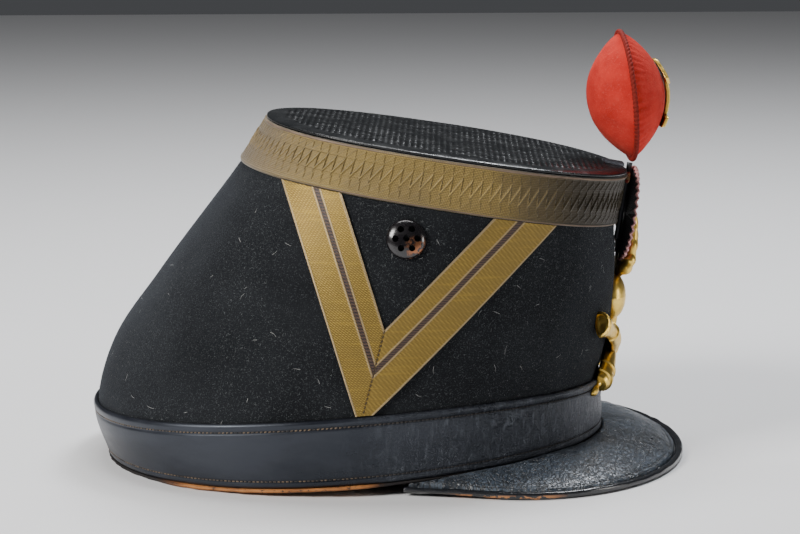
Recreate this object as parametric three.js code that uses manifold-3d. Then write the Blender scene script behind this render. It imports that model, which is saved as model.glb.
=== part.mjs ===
// An infantry shako of felt and leather, with a lace band, chevrons, pompon, cockade and brass badge.
// Millimetres, +Z up, the front of the shako towards +X and the wearer's left towards +Y.
// The shako stands on a table: the peak's bound edge and the rear of the rim rest on z = 0.
import * as THREE from 'three';
import { mergeVertices } from 'three/addons/utils/BufferGeometryUtils.js';
import Module from 'manifold-3d';

const wasm = await Module();
wasm.setup();

// Driving dimensions of the felt body
const headLength = 204.6; // over the felt at the rim, front to rear
const headWidth = 165.6; // over the felt at the rim
const bodyHeight = 140.2; // table to the crown's rear edge
const crownFall = 22.6; // how far the crown's front edge lies below its rear edge
const rimFrontLift = 10.5; // the rim arches up off the table at the front
const rimSideLift = 5.0;
const feltWall = 2.6;

// Leather band round the foot of the felt, and the sweatband whose edge shows under it
const bandHeight = 27.2; // at the side
const bandWall = 1.6;
const sweatWall = 1.3;
const sweatHeight = 32.0;
const sweatEdge = 1.1; // thickness of the edge that is turned out under the felt
const sweatShow = 1.2; // how far that edge stands out past the band's outer face

// Lace band round the crown, and a chevron of lace on each side
const laceWidth = 20.5;
const laceWall = 1.2;
const chevronWidth = 20.8;
const chevronWall = 1.2;
const rearArmAngle = 73.2; // degrees above the horizontal
const frontArmAngle = 43.4;
const chevronX = -3.3; // where the outer edges of the two arms meet, behind the leather band
const chevronZ = 27.7;

// Leather crown
const crownWall = 1.4;
const crownShoulder = 1.2; // height of the rolled edge over the lace
const crownDome = 0.5;
const crownEdgeWall = 0.5; // at the very edge of the disc

// Ventilators
const ventX = 16.0;
const ventZ = 100.4;
const ventDiameter = 15.8;
const ventHeight = 3.4;
const ventWall = 1.0;
const ventHole = 2.6;
const ventHoleCircle = 8.6;
const ventHoleCount = 6;

// Leather peak with a bound edge
const peakReach = 138.3; // its tip, in front of the middle of the rim
const peakCentreX = 63.5; // the outer edge is an ellipse about this point, with straight ends
const peakHalfWidth = 94.7;
const peakWall = 2.4;
const peakSeat = 3.2; // height of its top face over the rim, where it meets the band
const peakCrown = 1.6; // upward bow between the band and the outer edge
const peakArc = 100; // degrees of the ellipse on each side of the tip
const peakCorner = 83.5; // degrees from the front, where its rear corners meet the band
const bindingWidth = 3.2;
const bindingHeight = 3.0;

// Pompon, its stem and what is on it
const pomponHeight = 51.2; // of the felt, inside the cord along its seam
const pomponWidth = 49.0;
const pomponThickness = 32.6;
const pomponLean = 5.9; // degrees, towards the rear
const pomponCordDiameter = 2.6;
const stemDiameter = 2.4;
const stemRise = 3.0; // over the crown's front edge
const stemReach = 29.0; // below the crown's front edge
const knotDiameter = 3.4;
const knotWire = 1.5;
const knotDrop = 2.6; // its centre below the crown's front edge
const tabWidth = 9.0;
const tabReach = 6.0;
const tabRise = 3.6;
const tabWall = 1.2;
const numeralHeight = 28.0;
const numeralStroke = 5.0;
const numeralWall = 1.8;

// Cockade and brass badge
const cockadeDiameter = 41.0;
const cockadeWall = 1.2;
const cockadePleat = 0.5;
const pleatCount = 36;
const cockadeDrop = 18.2; // its centre below the crown's front edge
const ballDiameter = 21.0;
const ballProud = 6.2;
const ballDrop = 53.3; // its centre below the crown's front edge
const flameHeight = 27.0;
const flameReach = 8.6; // sideways, to the outermost tongue
const flameSize = 3.3;
const barrelLength = 77.0;
const barrelRadius = 5.6; // at the breech
const barrelAngle = 23.5; // degrees above the horizontal
const barrelDrop = 21.5; // below the ball's centre, where the two barrels cross
const barrelCrossShare = 0.46; // share of the length that lies behind the crossing
const barrelLift = 0.8; // how far the upper barrel is raised there
const neckRadius = 3.6; // of the short stalk from the ball down to the barrels

const gap = 0.3; // between any two pieces
const around = 52; // facets round the body
const radians = THREE.MathUtils.degToRad;

// Sections of the felt, from the rim up to the crown's edge. rear and front are shares of half the
// head length, width is a share of half the head width, square is a superellipse's exponent and
// egg widens the rear. zRear, zSide and zFront run from 0 at the rim to 1 at the crown's edge, and
// sweep bends a section down behind and up in front, as a share of the body's height.
const sections = [
  { level: 0.00, rear: 1.000, front: 1.000, width: 1.000, square: 2.05, egg: 0.05,
    zRear: 0.000, zSide: 0.000, zFront: 0.000, sweep: 0.014 },
  { level: 0.20, rear: 1.058, front: 1.001, width: 1.022, square: 2.05, egg: 0.05,
    zRear: 0.157, zSide: 0.217, zFront: 0.209, sweep: 0.035 },
  { level: 0.36, rear: 0.982, front: 1.039, width: 1.007, square: 2.08, egg: 0.045,
    zRear: 0.346, zSide: 0.391, zFront: 0.394, sweep: 0.021 },
  { level: 0.53, rear: 0.808, front: 1.058, width: 0.957, square: 2.12, egg: 0.03,
    zRear: 0.531, zSide: 0.575, zFront: 0.570, sweep: 0.010 },
  { level: 0.69, rear: 0.626, front: 1.061, width: 0.896, square: 2.20, egg: 0.015,
    zRear: 0.708, zSide: 0.727, zFront: 0.709, sweep: 0.004 },
  { level: 0.84, rear: 0.458, front: 1.056, width: 0.843, square: 2.25, egg: 0.00,
    zRear: 0.876, zSide: 0.851, zFront: 0.815, sweep: 0.000 },
  { level: 1.00, rear: 0.348, front: 1.095, width: 0.760, square: 2.25, egg: 0.00,
    zRear: 1.000, zSide: 1.000, zFront: 1.000, sweep: 0.000 },
];

// One column of the sections at any level, as a smooth cubic through the rows
function column(name, level) {
  const last = sections.length - 1;
  let i = 0;
  while (i < last - 1 && level > sections[i + 1].level) i += 1;
  const chord = (a, b) => (sections[b][name] - sections[a][name]) / (sections[b].level - sections[a].level);
  const slope = (k) => chord(Math.max(k - 1, 0), Math.min(k + 1, last));
  const step = sections[i + 1].level - sections[i].level;
  const t = (level - sections[i].level) / step;
  const rise = sections[i + 1][name] - sections[i][name];
  const ends = t * t * (3 - 2 * t) * rise;
  const bends = step * t * (1 - t) * ((1 - t) * slope(i) - t * slope(i + 1));
  return sections[i][name] + ends + bends;
}

// A point of the felt's outer face: theta is 0 at the front and 90 degrees on the wearer's left
function feltPoint(theta, level) {
  const [rear, front, width, square, egg, zRear, zSide, zFront, sweep] =
    ['rear', 'front', 'width', 'square', 'egg', 'zRear', 'zSide', 'zFront', 'sweep']
      .map((name) => column(name, level));
  const c = Math.cos(theta);
  const s = Math.sin(theta);
  const along = Math.sign(c) * Math.abs(c) ** (2 / square);
  const across = Math.sign(s) * Math.abs(s) ** (2 / square);
  const rimRearLift = sweatEdge + gap;
  const low = { rear: rimRearLift, side: rimSideLift, front: rimFrontLift };
  const high = { rear: bodyHeight, side: bodyHeight - crownFall / 2, front: bodyHeight - crownFall };
  const zR = low.rear + zRear * (high.rear - low.rear);
  const zS = low.side + zSide * (high.side - low.side);
  const zF = low.front + zFront * (high.front - low.front);
  const x = (headLength / 4) * (front - rear + (front + rear) * along);
  const y = (headWidth / 2) * width * across * (1 - egg * along);
  const z = zS + ((zF - zR) / 2) * along + ((zF + zR) / 2 - zS) * along ** 2
    + sweep * bodyHeight * c * s * s;
  return new THREE.Vector3(x, y, z);
}

// The felt's outward normal there, from small steps along both directions; level at the rim itself
function feltNormal(theta, level) {
  const step = 0.004;
  const up = Math.min(level + step, 1);
  const down = Math.max(level - step, 0);
  const round = feltPoint(theta + step, level).sub(feltPoint(theta - step, level));
  const rise = feltPoint(theta, up).sub(feltPoint(theta, down));
  const normal = round.cross(rise);
  if (level === 0) normal.z = 0;
  return normal.normalize();
}

// A point that stands off the felt's outer face
function offFelt(theta, level, stand) {
  return feltPoint(theta, level).addScaledVector(feltNormal(theta, level), stand);
}

// The root of a falling function between two bounds
function solve(low, high, falling) {
  let [a, b] = [low, high];
  for (let i = 0; i < 40; i += 1) {
    const middle = (a + b) / 2;
    if (falling(middle) > 0) a = middle;
    else b = middle;
  }
  return (a + b) / 2;
}

// The level that lies a given rise above the rim, or a given distance of wall below the crown's edge
const levelUp = (theta, rise) => solve(0, 1, (level) =>
  rise - (feltPoint(theta, level).z - feltPoint(theta, 0).z));
const levelDown = (theta, wall) => solve(0, 1, (level) =>
  feltPoint(theta, level).distanceTo(feltPoint(theta, 1)) - wall);

const sideAngles = [0.2, 2.9]; // radians, bounds of the search along one side

// The leather band is lower at the rear and the front than at the sides
const bandRise = (theta) => bandHeight * (0.82 + 0.18 * Math.sin(theta) ** 2);
const bandTop = (theta, above = 0) => levelUp(theta, bandRise(theta) + above);
const laceFoot = (theta, below = 0) => levelDown(theta, laceWidth + below);
const bandStand = gap + bandWall; // the band's outer face, off the felt
const laceStand = gap + laceWall;

// A geometry from corner points and triangles of their numbers
function solidFrom(points, triangles) {
  const geometry = new THREE.BufferGeometry();
  geometry.setAttribute('position', new THREE.Float32BufferAttribute(points.flatMap((p) => p.toArray()), 3));
  geometry.setIndex(triangles.flat());
  return geometry;
}

// A hoop round the body: a closed profile, given at each angle as points, carried round
function hoop(profileAt) {
  const points = [];
  const triangles = [];
  const count = profileAt(0).length;
  for (let i = 0; i < around; i += 1) points.push(...profileAt((2 * Math.PI * i) / around));
  for (let i = 0; i < around; i += 1) {
    for (let j = 0; j < count; j += 1) {
      const a = i * count + j;
      const b = i * count + ((j + 1) % count);
      const c = ((i + 1) % around) * count + ((j + 1) % count);
      const d = ((i + 1) % around) * count + j;
      triangles.push([a, d, c], [a, c, b]);
    }
  }
  return solidFrom(points, triangles);
}

// Evenly spaced numbers, ends included
const spaced = (from, to, steps) =>
  Array.from({ length: steps + 1 }, (_, i) => from + ((to - from) * i) / steps);

// A sheet with a thickness: pairs of points on its two faces, and triangles seen from the first face
function slab(pairs, triangles) {
  const count = pairs.length;
  const points = [...pairs.map((p) => p[0]), ...pairs.map((p) => p[1])];
  const faces = [];
  const edges = new Map();
  for (const [a, b, c] of triangles) {
    faces.push([a, b, c], [count + c, count + b, count + a]);
    for (const [from, to] of [[a, b], [b, c], [c, a]]) {
      const back = `${to} ${from}`;
      if (edges.has(back)) edges.delete(back);
      else edges.set(`${from} ${to}`, [from, to]);
    }
  }
  for (const [from, to] of edges.values()) {
    faces.push([from, count + from, count + to], [from, count + to, to]);
  }
  return solidFrom(points, faces);
}

// Triangles of a grid of rows and columns whose points are numbered row by row
function gridTriangles(rows, columns, first = 0) {
  const triangles = [];
  for (let r = 0; r < rows - 1; r += 1) {
    for (let c = 0; c < columns - 1; c += 1) {
      const a = first + r * columns + c;
      const b = a + columns;
      triangles.push([a, b, b + 1], [a, b + 1, a + 1]);
    }
  }
  return triangles;
}

// A round bar along a spine, whose radius may change, closed at both ends
function bar(spine, radius, rings, sides) {
  const points = [spine(0)];
  const triangles = [];
  for (let i = 0; i <= rings; i += 1) {
    const u = i / rings;
    const ahead = spine(Math.min(u + 0.01, 1)).sub(spine(Math.max(u - 0.01, 0))).normalize();
    const side = new THREE.Vector3(1, 0, 0).cross(ahead).normalize();
    const other = ahead.clone().cross(side);
    for (let k = 0; k < sides; k += 1) {
      const angle = (2 * Math.PI * k) / sides;
      points.push(spine(u).addScaledVector(side, radius(u) * Math.cos(angle))
        .addScaledVector(other, radius(u) * Math.sin(angle)));
    }
  }
  const last = points.push(spine(1)) - 1;
  for (let k = 0; k < sides; k += 1) {
    const next = (k + 1) % sides;
    triangles.push([0, 1 + next, 1 + k], [last, last - sides + k, last - sides + next]);
    for (let i = 0; i < rings; i += 1) {
      const a = 1 + i * sides;
      const b = a + sides;
      triangles.push([a + k, a + next, b + next], [a + k, b + next, b + k]);
    }
  }
  return solidFrom(points, triangles);
}

// To and from the boolean library
function toManifold(geometry) {
  const bare = geometry.clone();
  for (const name of Object.keys(bare.attributes)) if (name !== 'position') bare.deleteAttribute(name);
  const merged = mergeVertices(bare, 1e-4);
  return new wasm.Manifold(new wasm.Mesh({
    numProp: 3,
    vertProperties: new Float32Array(merged.attributes.position.array),
    triVerts: new Uint32Array(merged.index.array),
  }));
}

function fromManifold(solid) {
  const mesh = solid.getMesh();
  const geometry = new THREE.BufferGeometry();
  geometry.setAttribute('position', new THREE.BufferAttribute(new Float32Array(mesh.vertProperties), 3));
  geometry.setIndex(new THREE.BufferAttribute(new Uint32Array(mesh.triVerts), 1));
  return geometry;
}

// A filled copy of the body up to a level, standing off the felt, which cuts what lies on it
function filledBody(stand, topLevel) {
  const rows = 12;
  const pairs = [];
  for (const share of spaced(0, 1, rows)) {
    for (let i = 0; i < around; i += 1) {
      const theta = (2 * Math.PI * i) / around;
      pairs.push(offFelt(theta, share * topLevel(theta), stand));
    }
  }
  const middle = (row) => {
    const sum = new THREE.Vector3();
    for (let i = 0; i < around; i += 1) sum.add(pairs[row * around + i]);
    return sum.divideScalar(around);
  };
  const bottom = pairs.push(middle(0)) - 1;
  const top = pairs.push(middle(rows)) - 1;
  const triangles = [];
  for (let i = 0; i < around; i += 1) {
    const next = (i + 1) % around;
    triangles.push([bottom, next, i], [top, rows * around + i, rows * around + next]);
    for (let r = 0; r < rows; r += 1) {
      const a = r * around;
      const b = a + around;
      triangles.push([a + i, a + next, b + next], [a + i, b + next, b + i]);
    }
  }
  return toManifold(solidFrom(pairs, triangles));
}

const model = new THREE.Group();

function addPiece(name, geometry, material) {
  const mesh = new THREE.Mesh(geometry, material);
  mesh.name = name;
  model.add(mesh);
  return mesh;
}

const finish = (color, roughness, metalness = 0) =>
  new THREE.MeshStandardMaterial({ color, roughness, metalness });
const feltFinish = finish('#14171a', 0.95);
const blackLeather = finish('#15171c', 0.32);
const brownLeather = finish('#a25a22', 0.6);
const laceFinish = finish('#7d6428', 0.6, 0.35);
const chevronFinish = finish('#a5842d', 0.55, 0.35);
const japanned = finish('#17120f', 0.25, 0.4);
const redFelt = finish('#b3241f', 0.9);
const darkRedCord = finish('#8f1a18', 0.85);
const brass = finish('#c79a3a', 0.3, 1);
const greyMetal = finish('#3a3d40', 0.45, 0.8);
const cockadePaint = finish('#b8b2ac', 0.6);

// Felt body, an open shell from the rim up to the crown
function feltBody() {
  const footLevels = spaced(0, 0.3, 6);
  const outerLevels = [...footLevels, ...spaced(0.3, 1, 8).slice(1)];
  const innerLevels = [...footLevels, ...spaced(0.3, 1, 4).slice(1)].reverse();
  return hoop((theta) => [
    ...outerLevels.map((level) => offFelt(theta, level, 0)),
    ...innerLevels.map((level) => offFelt(theta, level, -feltWall)),
  ]);
}
addPiece('felt_body', feltBody(), feltFinish);

// A band of even thickness on the felt, between two levels that may change round the body
function bandOnFelt(lowLevel, highLevel, wall, steps) {
  return hoop((theta) => {
    const levels = spaced(lowLevel(theta), highLevel(theta), steps);
    return [
      ...levels.map((level) => offFelt(theta, level, gap + wall)),
      ...levels.reverse().map((level) => offFelt(theta, level, gap)),
    ];
  });
}
addPiece('leather_band', bandOnFelt(() => 0, (theta) => bandTop(theta), bandWall, 3), blackLeather);
addPiece('lace_band', bandOnFelt((theta) => laceFoot(theta), () => 1, laceWall, 3), laceFinish);

// Sweatband inside the felt, its lower edge turned out flat under the felt and the leather band.
// It stands out past the band only behind the peak.
function sweatband() {
  return hoop((theta) => {
    const inner = -(feltWall + gap + sweatWall);
    const back = -(feltWall + gap);
    const top = levelUp(theta, sweatHeight * (0.9 + 0.1 * Math.sin(theta) ** 2));
    const levels = spaced(0, top, 3);
    const below = (stand, drop) => {
      const point = offFelt(theta, 0, stand);
      point.z = Math.max(feltPoint(theta, 0).z - drop, 0);
      return point;
    };
    const behind = (Math.PI - Math.abs(Math.PI - theta)) - radians(peakCorner + 2);
    const outermost = bandStand + sweatShow * THREE.MathUtils.clamp(behind / radians(6), 0, 1);
    return [
      below(inner, gap + sweatEdge),
      below(outermost, gap + sweatEdge),
      below(outermost, gap),
      below(back, gap),
      ...levels.slice(1).map((level) => offFelt(theta, level, back)),
      ...levels.slice(1).reverse().map((level) => offFelt(theta, level, inner)),
    ];
  });
}
addPiece('sweatband', sweatband(), brownLeather);

// Crown: a leather disc with a rolled shoulder, lying on the top edge of the felt and the lace.
// inward is a share of the way from the middle to the edge, height is in shoulder heights.
const crownRings = [
  { inward: 1.000, height: 0.00 },
  { inward: 0.995, height: 0.55 },
  { inward: 0.970, height: 0.95 },
  { inward: 0.900, height: 1.00 },
  { inward: 0.500, height: 1.00 },
];
const crownMiddle = feltPoint(0, 1).add(feltPoint(Math.PI, 1)).divideScalar(2);
const crownTilt = Math.atan2(crownFall, feltPoint(0, 1).x - feltPoint(Math.PI, 1).x);
const crownUp = new THREE.Vector3(Math.sin(crownTilt), 0, Math.cos(crownTilt));
// A point over the crown's edge plane, on the line from the middle to the edge at one angle
function onCrown(theta, inward, lift) {
  const edge = offFelt(theta, 1, laceWall);
  return crownMiddle.clone().lerp(edge, inward).addScaledVector(crownUp, gap + lift);
}
function crownTop() {
  const dome = (inward) => crownDome * (1 - inward ** 2);
  const place = (i, inward, lift) => onCrown((2 * Math.PI * i) / around, inward, lift);
  const pairs = [];
  for (const ring of crownRings) {
    const lift = ring.height * crownShoulder + dome(ring.inward);
    const under = Math.max(lift - crownWall, 0);
    for (let i = 0; i < around; i += 1) {
      pairs.push([place(i, ring.inward, lift + crownEdgeWall), place(i, ring.inward, under)]);
    }
  }
  const top = crownShoulder + crownDome + crownEdgeWall;
  const centre = pairs.push([place(0, 0, top), place(0, 0, top - crownWall)]) - 1;
  const triangles = [];
  for (let i = 0; i < around; i += 1) {
    const next = (i + 1) % around;
    for (let r = 0; r < crownRings.length - 1; r += 1) {
      const a = r * around;
      const b = a + around;
      triangles.push([a + i, a + next, b + next], [a + i, b + next, b + i]);
    }
    const a = (crownRings.length - 1) * around;
    triangles.push([a + i, a + next, centre]);
  }
  return slab(pairs, triangles);
}
addPiece('crown_top', crownTop(), blackLeather);

// A chevron on one side: two arms of lace mitred along the line where they meet. An arm's row runs
// across it at one share of the way up from the leather band to the lace band.
function chevron(side) {
  const rows = 10;
  const columns = 4;
  const rearSlope = 1 / Math.tan(radians(rearArmAngle));
  const frontSlope = 1 / Math.tan(radians(frontArmAngle));
  const mitre = radians((180 - rearArmAngle + frontArmAngle) / 2);
  const seamX = (z) => chevronX + (z - chevronZ) / Math.tan(mitre);
  const arms = [
    { outer: (z) => chevronX - (z - chevronZ) * rearSlope,
      inner: (z) => chevronX - (z - chevronZ) * rearSlope + chevronWidth / Math.sin(radians(rearArmAngle)),
      keep: Math.min },
    { outer: (z) => chevronX + (z - chevronZ) * frontSlope,
      inner: (z) => chevronX + (z - chevronZ) * frontSlope - chevronWidth / Math.sin(radians(frontArmAngle)),
      keep: Math.max },
  ];
  const level = (theta, up) => bandTop(theta, gap) + up * (laceFoot(theta, gap) - bandTop(theta, gap));
  const notch = solve(0, 1, (up) => {
    const theta = solve(...sideAngles, (angle) => {
      const point = feltPoint(angle, level(angle, up));
      return point.x - seamX(point.z);
    });
    const z = feltPoint(theta, level(theta, up)).z;
    return arms[0].inner(z) - seamX(z);
  });
  const heights = [...spaced(0, notch, 4), ...spaced(notch, 1, rows - 5).slice(1)];
  const pairs = [];
  const triangles = [];
  arms.forEach((arm, number) => {
    const first = pairs.length;
    for (const up of heights) {
      for (const share of spaced(0, 1, columns - 1)) {
        const target = (z) => {
          const inside = arm.keep(arm.inner(z), seamX(z));
          return arm.outer(z) + share * (inside - arm.outer(z));
        };
        const theta = solve(...sideAngles, (angle) => {
          const point = feltPoint(angle, level(angle, up));
          return point.x - target(point.z);
        });
        const at = level(theta, up);
        const pair = [offFelt(theta, at, gap + chevronWall), offFelt(theta, at, gap)];
        if (side < 0) for (const point of pair) point.y *= -1;
        pairs.push(pair);
      }
    }
    const flip = (number === 0) !== (side > 0);
    for (const [a, b, c] of gridTriangles(heights.length, columns, first)) {
      triangles.push(flip ? [a, c, b] : [a, b, c]);
    }
  });
  // The arms share the points of the seam below the notch
  const armPoints = heights.length * columns;
  const shared = (index) => {
    const row = Math.floor((index - armPoints) / columns);
    const inSeam = index >= armPoints && (index - armPoints) % columns === columns - 1 && row <= 4;
    return inSeam ? row * columns + columns - 1 : index;
  };
  return slab(pairs, triangles.map((triangle) => triangle.map(shared)));
}
addPiece('chevron_left', chevron(1), chevronFinish);
addPiece('chevron_right', chevron(-1), chevronFinish);

// Ventilator: a pierced metal dome on each side, standing square to the felt
function ventilatorShape() {
  const radius = ventDiameter / 2;
  const arc = (r, h) => spaced(0, 90, 4).map((angle) =>
    new THREE.Vector2(r * Math.cos(radians(angle)), h * Math.sin(radians(angle))));
  const outer = arc(radius, ventHeight);
  const inner = arc(radius - ventWall, ventHeight - ventWall).reverse();
  inner[0].x = 0;
  outer[outer.length - 1].x = 0;
  const dome = new THREE.LatheGeometry([...inner, ...outer], 15).rotateX(Math.PI / 2);
  let solid = toManifold(dome);
  const hole = (x, y) => {
    const drill = new THREE.CylinderGeometry(ventHole / 2, ventHole / 2, 3 * ventHeight, 6);
    return toManifold(drill.rotateX(Math.PI / 2).translate(x, y, 0));
  };
  solid = solid.subtract(hole(0, 0));
  for (let i = 0; i < ventHoleCount; i += 1) {
    const angle = (2 * Math.PI * i) / ventHoleCount;
    const reach = ventHoleCircle / 2;
    solid = solid.subtract(hole(reach * Math.cos(angle), reach * Math.sin(angle)));
  }
  return fromManifold(solid);
}
const ventilator = ventilatorShape();
for (const side of [1, -1]) {
  const level = (theta) => levelUp(theta, ventZ - feltPoint(theta, 0).z);
  const theta = solve(...sideAngles, (angle) => feltPoint(angle, level(angle)).x - ventX);
  const seat = offFelt(theta, level(theta), gap);
  const normal = feltNormal(theta, level(theta));
  seat.y *= side;
  normal.y *= side;
  const mesh = addPiece(side > 0 ? 'ventilator_left' : 'ventilator_right', ventilator.clone(), japanned);
  mesh.position.copy(seat);
  mesh.quaternion.setFromUnitVectors(new THREE.Vector3(0, 0, 1), normal);
}

// Outer edge of the peak in plan: an ellipse in front and a straight stretch to each rear corner.
// along runs from -1 to 1, and inset moves the line inwards.
function peakEdge(along, inset) {
  const half = peakReach - peakCentreX;
  const share = 0.82;
  const bend = Math.min(Math.abs(along) / share, 1);
  const angle = radians(peakArc) * bend;
  const point = new THREE.Vector2(peakCentreX + half * Math.cos(angle), peakHalfWidth * Math.sin(angle));
  const normal = new THREE.Vector2(peakHalfWidth * Math.cos(angle), half * Math.sin(angle)).normalize();
  const past = Math.max(Math.abs(along) - share, 0) / (1 - share);
  if (past > 0) {
    const tangent = new THREE.Vector2(-normal.y, normal.x);
    const left = (point.x - offFelt(radians(peakCorner), 0, bandStand).x) / normal.y;
    point.addScaledVector(tangent, left * past);
  }
  point.addScaledVector(normal, -inset);
  return { point: new THREE.Vector2(point.x, Math.sign(along) * point.y),
    normal: new THREE.Vector2(normal.x, Math.sign(along) * normal.y) };
}

const peakSteps = 32;
const peakEndShare = 0.965; // where the plate stops before its corners, as a share of the edge
const bindingEndShare = 0.99; // the binding runs on until it is under the leather band
function peak() {
  const rows = 4;
  const pairs = [];
  for (const along of spaced(-peakEndShare, peakEndShare, peakSteps)) {
    const theta = radians(peakCorner) * along;
    const level = levelUp(theta, peakSeat - peakWall / 2);
    const inner = offFelt(theta, level, bandStand + gap);
    const outer = peakEdge(along, bindingWidth + gap).point;
    for (const share of spaced(0, 1, rows - 1)) {
      const x = inner.x + share * (outer.x - inner.x);
      const y = inner.y + share * (outer.y - inner.y);
      const bow = peakCrown * 4 * share * (1 - share) * Math.cos(theta);
      const z = inner.z + share * (bindingHeight / 2 - inner.z) + bow;
      pairs.push([new THREE.Vector3(x, y, z + peakWall / 2), new THREE.Vector3(x, y, z - peakWall / 2)]);
    }
  }
  const triangles = gridTriangles(peakSteps + 1, rows).map(([a, b, c]) => [a, c, b]);
  return slab(pairs, triangles);
}
addPiece('peak', peak(), blackLeather);

// Bound edge of the peak, a rounded strip with a flat foot that rests on the table.
// out and up are shares of the strip's width and height.
const bindingSection = [
  { out: 0.15, up: 0.0 }, { out: 0.85, up: 0.0 }, { out: 1.0, up: 0.3 }, { out: 1.0, up: 0.7 },
  { out: 0.8, up: 1.0 }, { out: 0.2, up: 1.0 }, { out: 0.0, up: 0.7 }, { out: 0.0, up: 0.3 },
];
function peakBinding() {
  const points = [];
  const triangles = [];
  const count = bindingSection.length;
  for (const along of spaced(-bindingEndShare, bindingEndShare, peakSteps)) {
    for (const { out, up } of bindingSection) {
      const { point } = peakEdge(along, bindingWidth * (1 - out));
      points.push(new THREE.Vector3(point.x, point.y, bindingHeight * up));
    }
  }
  for (let i = 0; i < peakSteps; i += 1) {
    for (let k = 0; k < count; k += 1) {
      const next = (k + 1) % count;
      const a = i * count;
      triangles.push([a + k, a + count + k, a + count + next], [a + k, a + count + next, a + next]);
    }
  }
  const last = peakSteps * count;
  for (let k = 1; k < count - 1; k += 1) {
    triangles.push([0, k, k + 1], [last, last + k + 1, last + k]);
  }
  return solidFrom(points, triangles);
}
addPiece('peak_binding', peakBinding(), blackLeather);

// Stem of the pompon: a wire that lies against the lace band in front, parallel to it
const crownFront = offFelt(0, 1, laceStand);
const stemRadius = stemDiameter / 2;
const stemFootZ = crownFront.z - stemReach;
const stemFoot = offFelt(0, levelUp(0, stemFootZ - feltPoint(0, 0).z), gap + stemRadius);
stemFoot.x += gap;
const stemPass = crownFront.clone().setX(crownFront.x + gap + stemRadius);
const stemTop = stemFoot.clone().lerp(stemPass, (stemReach + stemRise) / stemReach);
const stemLine = (u) => stemFoot.clone().lerp(stemTop, u);
const stemAxis = stemTop.clone().sub(stemFoot).normalize();
addPiece('pompon_stem', bar(stemLine, () => stemRadius, 2, 8), greyMetal);

// Pompon: two puffed felt halves that meet in a seam. A point of the seam's plane goes forward or
// back by (1 - r squared) to the power 0.85, r being its share of the way out to the seam.
const lean = new THREE.Matrix4().makeRotationY(-radians(pomponLean));
const pomponBase = stemTop.clone().addScaledVector(stemAxis, gap + pomponCordDiameter);
const pomponCentre = new THREE.Vector3(0, 0, pomponHeight / 2).applyMatrix4(lean).add(pomponBase);
const puff = (r) => (pomponThickness / 2) * Math.max(1 - r * r, 0) ** 0.85;
function pompon() {
  const sides = 20;
  const rings = [0.965, 0.87, 0.72, 0.54, 0.32];
  const points = [];
  const ringStart = [];
  const addRing = (r, face) => {
    ringStart.push(points.length);
    for (let k = 0; k < sides; k += 1) {
      const angle = (2 * Math.PI * k) / sides;
      const y = (pomponWidth / 2) * r * Math.cos(angle);
      const z = (pomponHeight / 2) * r * Math.sin(angle);
      points.push(new THREE.Vector3(face * puff(r), y, z));
    }
  };
  rings.slice().reverse().forEach((r) => addRing(r, 1));
  rings.forEach((r) => addRing(r, -1));
  const front = points.push(new THREE.Vector3(puff(0), 0, 0)) - 1;
  const back = points.push(new THREE.Vector3(-puff(0), 0, 0)) - 1;
  const triangles = [];
  for (let k = 0; k < sides; k += 1) {
    const next = (k + 1) % sides;
    triangles.push([front, ringStart[0] + k, ringStart[0] + next]);
    for (let r = 0; r < ringStart.length - 1; r += 1) {
      const a = ringStart[r];
      const b = ringStart[r + 1];
      triangles.push([a + k, b + k, b + next], [a + k, b + next, a + next]);
    }
    const a = ringStart[ringStart.length - 1];
    triangles.push([back, a + next, a + k]);
  }
  return solidFrom(points, triangles).applyMatrix4(lean)
    .translate(pomponCentre.x, pomponCentre.y, pomponCentre.z);
}
addPiece('pompon', pompon(), redFelt);

// Twisted cord along the pompon's seam, as a plain ring of its outer diameter
function pomponCord() {
  const steps = 28;
  const sides = 6;
  const radius = pomponCordDiameter / 2;
  const points = [];
  const triangles = [];
  for (let i = 0; i < steps; i += 1) {
    const angle = (2 * Math.PI * i) / steps;
    for (let k = 0; k < sides; k += 1) {
      const turn = (2 * Math.PI * k) / sides;
      const out = radius + radius * Math.cos(turn);
      const y = (pomponWidth / 2 + out) * Math.cos(angle);
      const z = (pomponHeight / 2 + out) * Math.sin(angle);
      points.push(new THREE.Vector3(radius * Math.sin(turn), y, z));
    }
  }
  for (let i = 0; i < steps; i += 1) {
    for (let k = 0; k < sides; k += 1) {
      const a = i * sides;
      const b = ((i + 1) % steps) * sides;
      const next = (k + 1) % sides;
      triangles.push([a + k, b + k, b + next], [a + k, b + next, a + next]);
    }
  }
  return solidFrom(points, triangles).applyMatrix4(lean)
    .translate(pomponCentre.x, pomponCentre.y, pomponCentre.z);
}
addPiece('pompon_cord', pomponCord(), darkRedCord);

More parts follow.
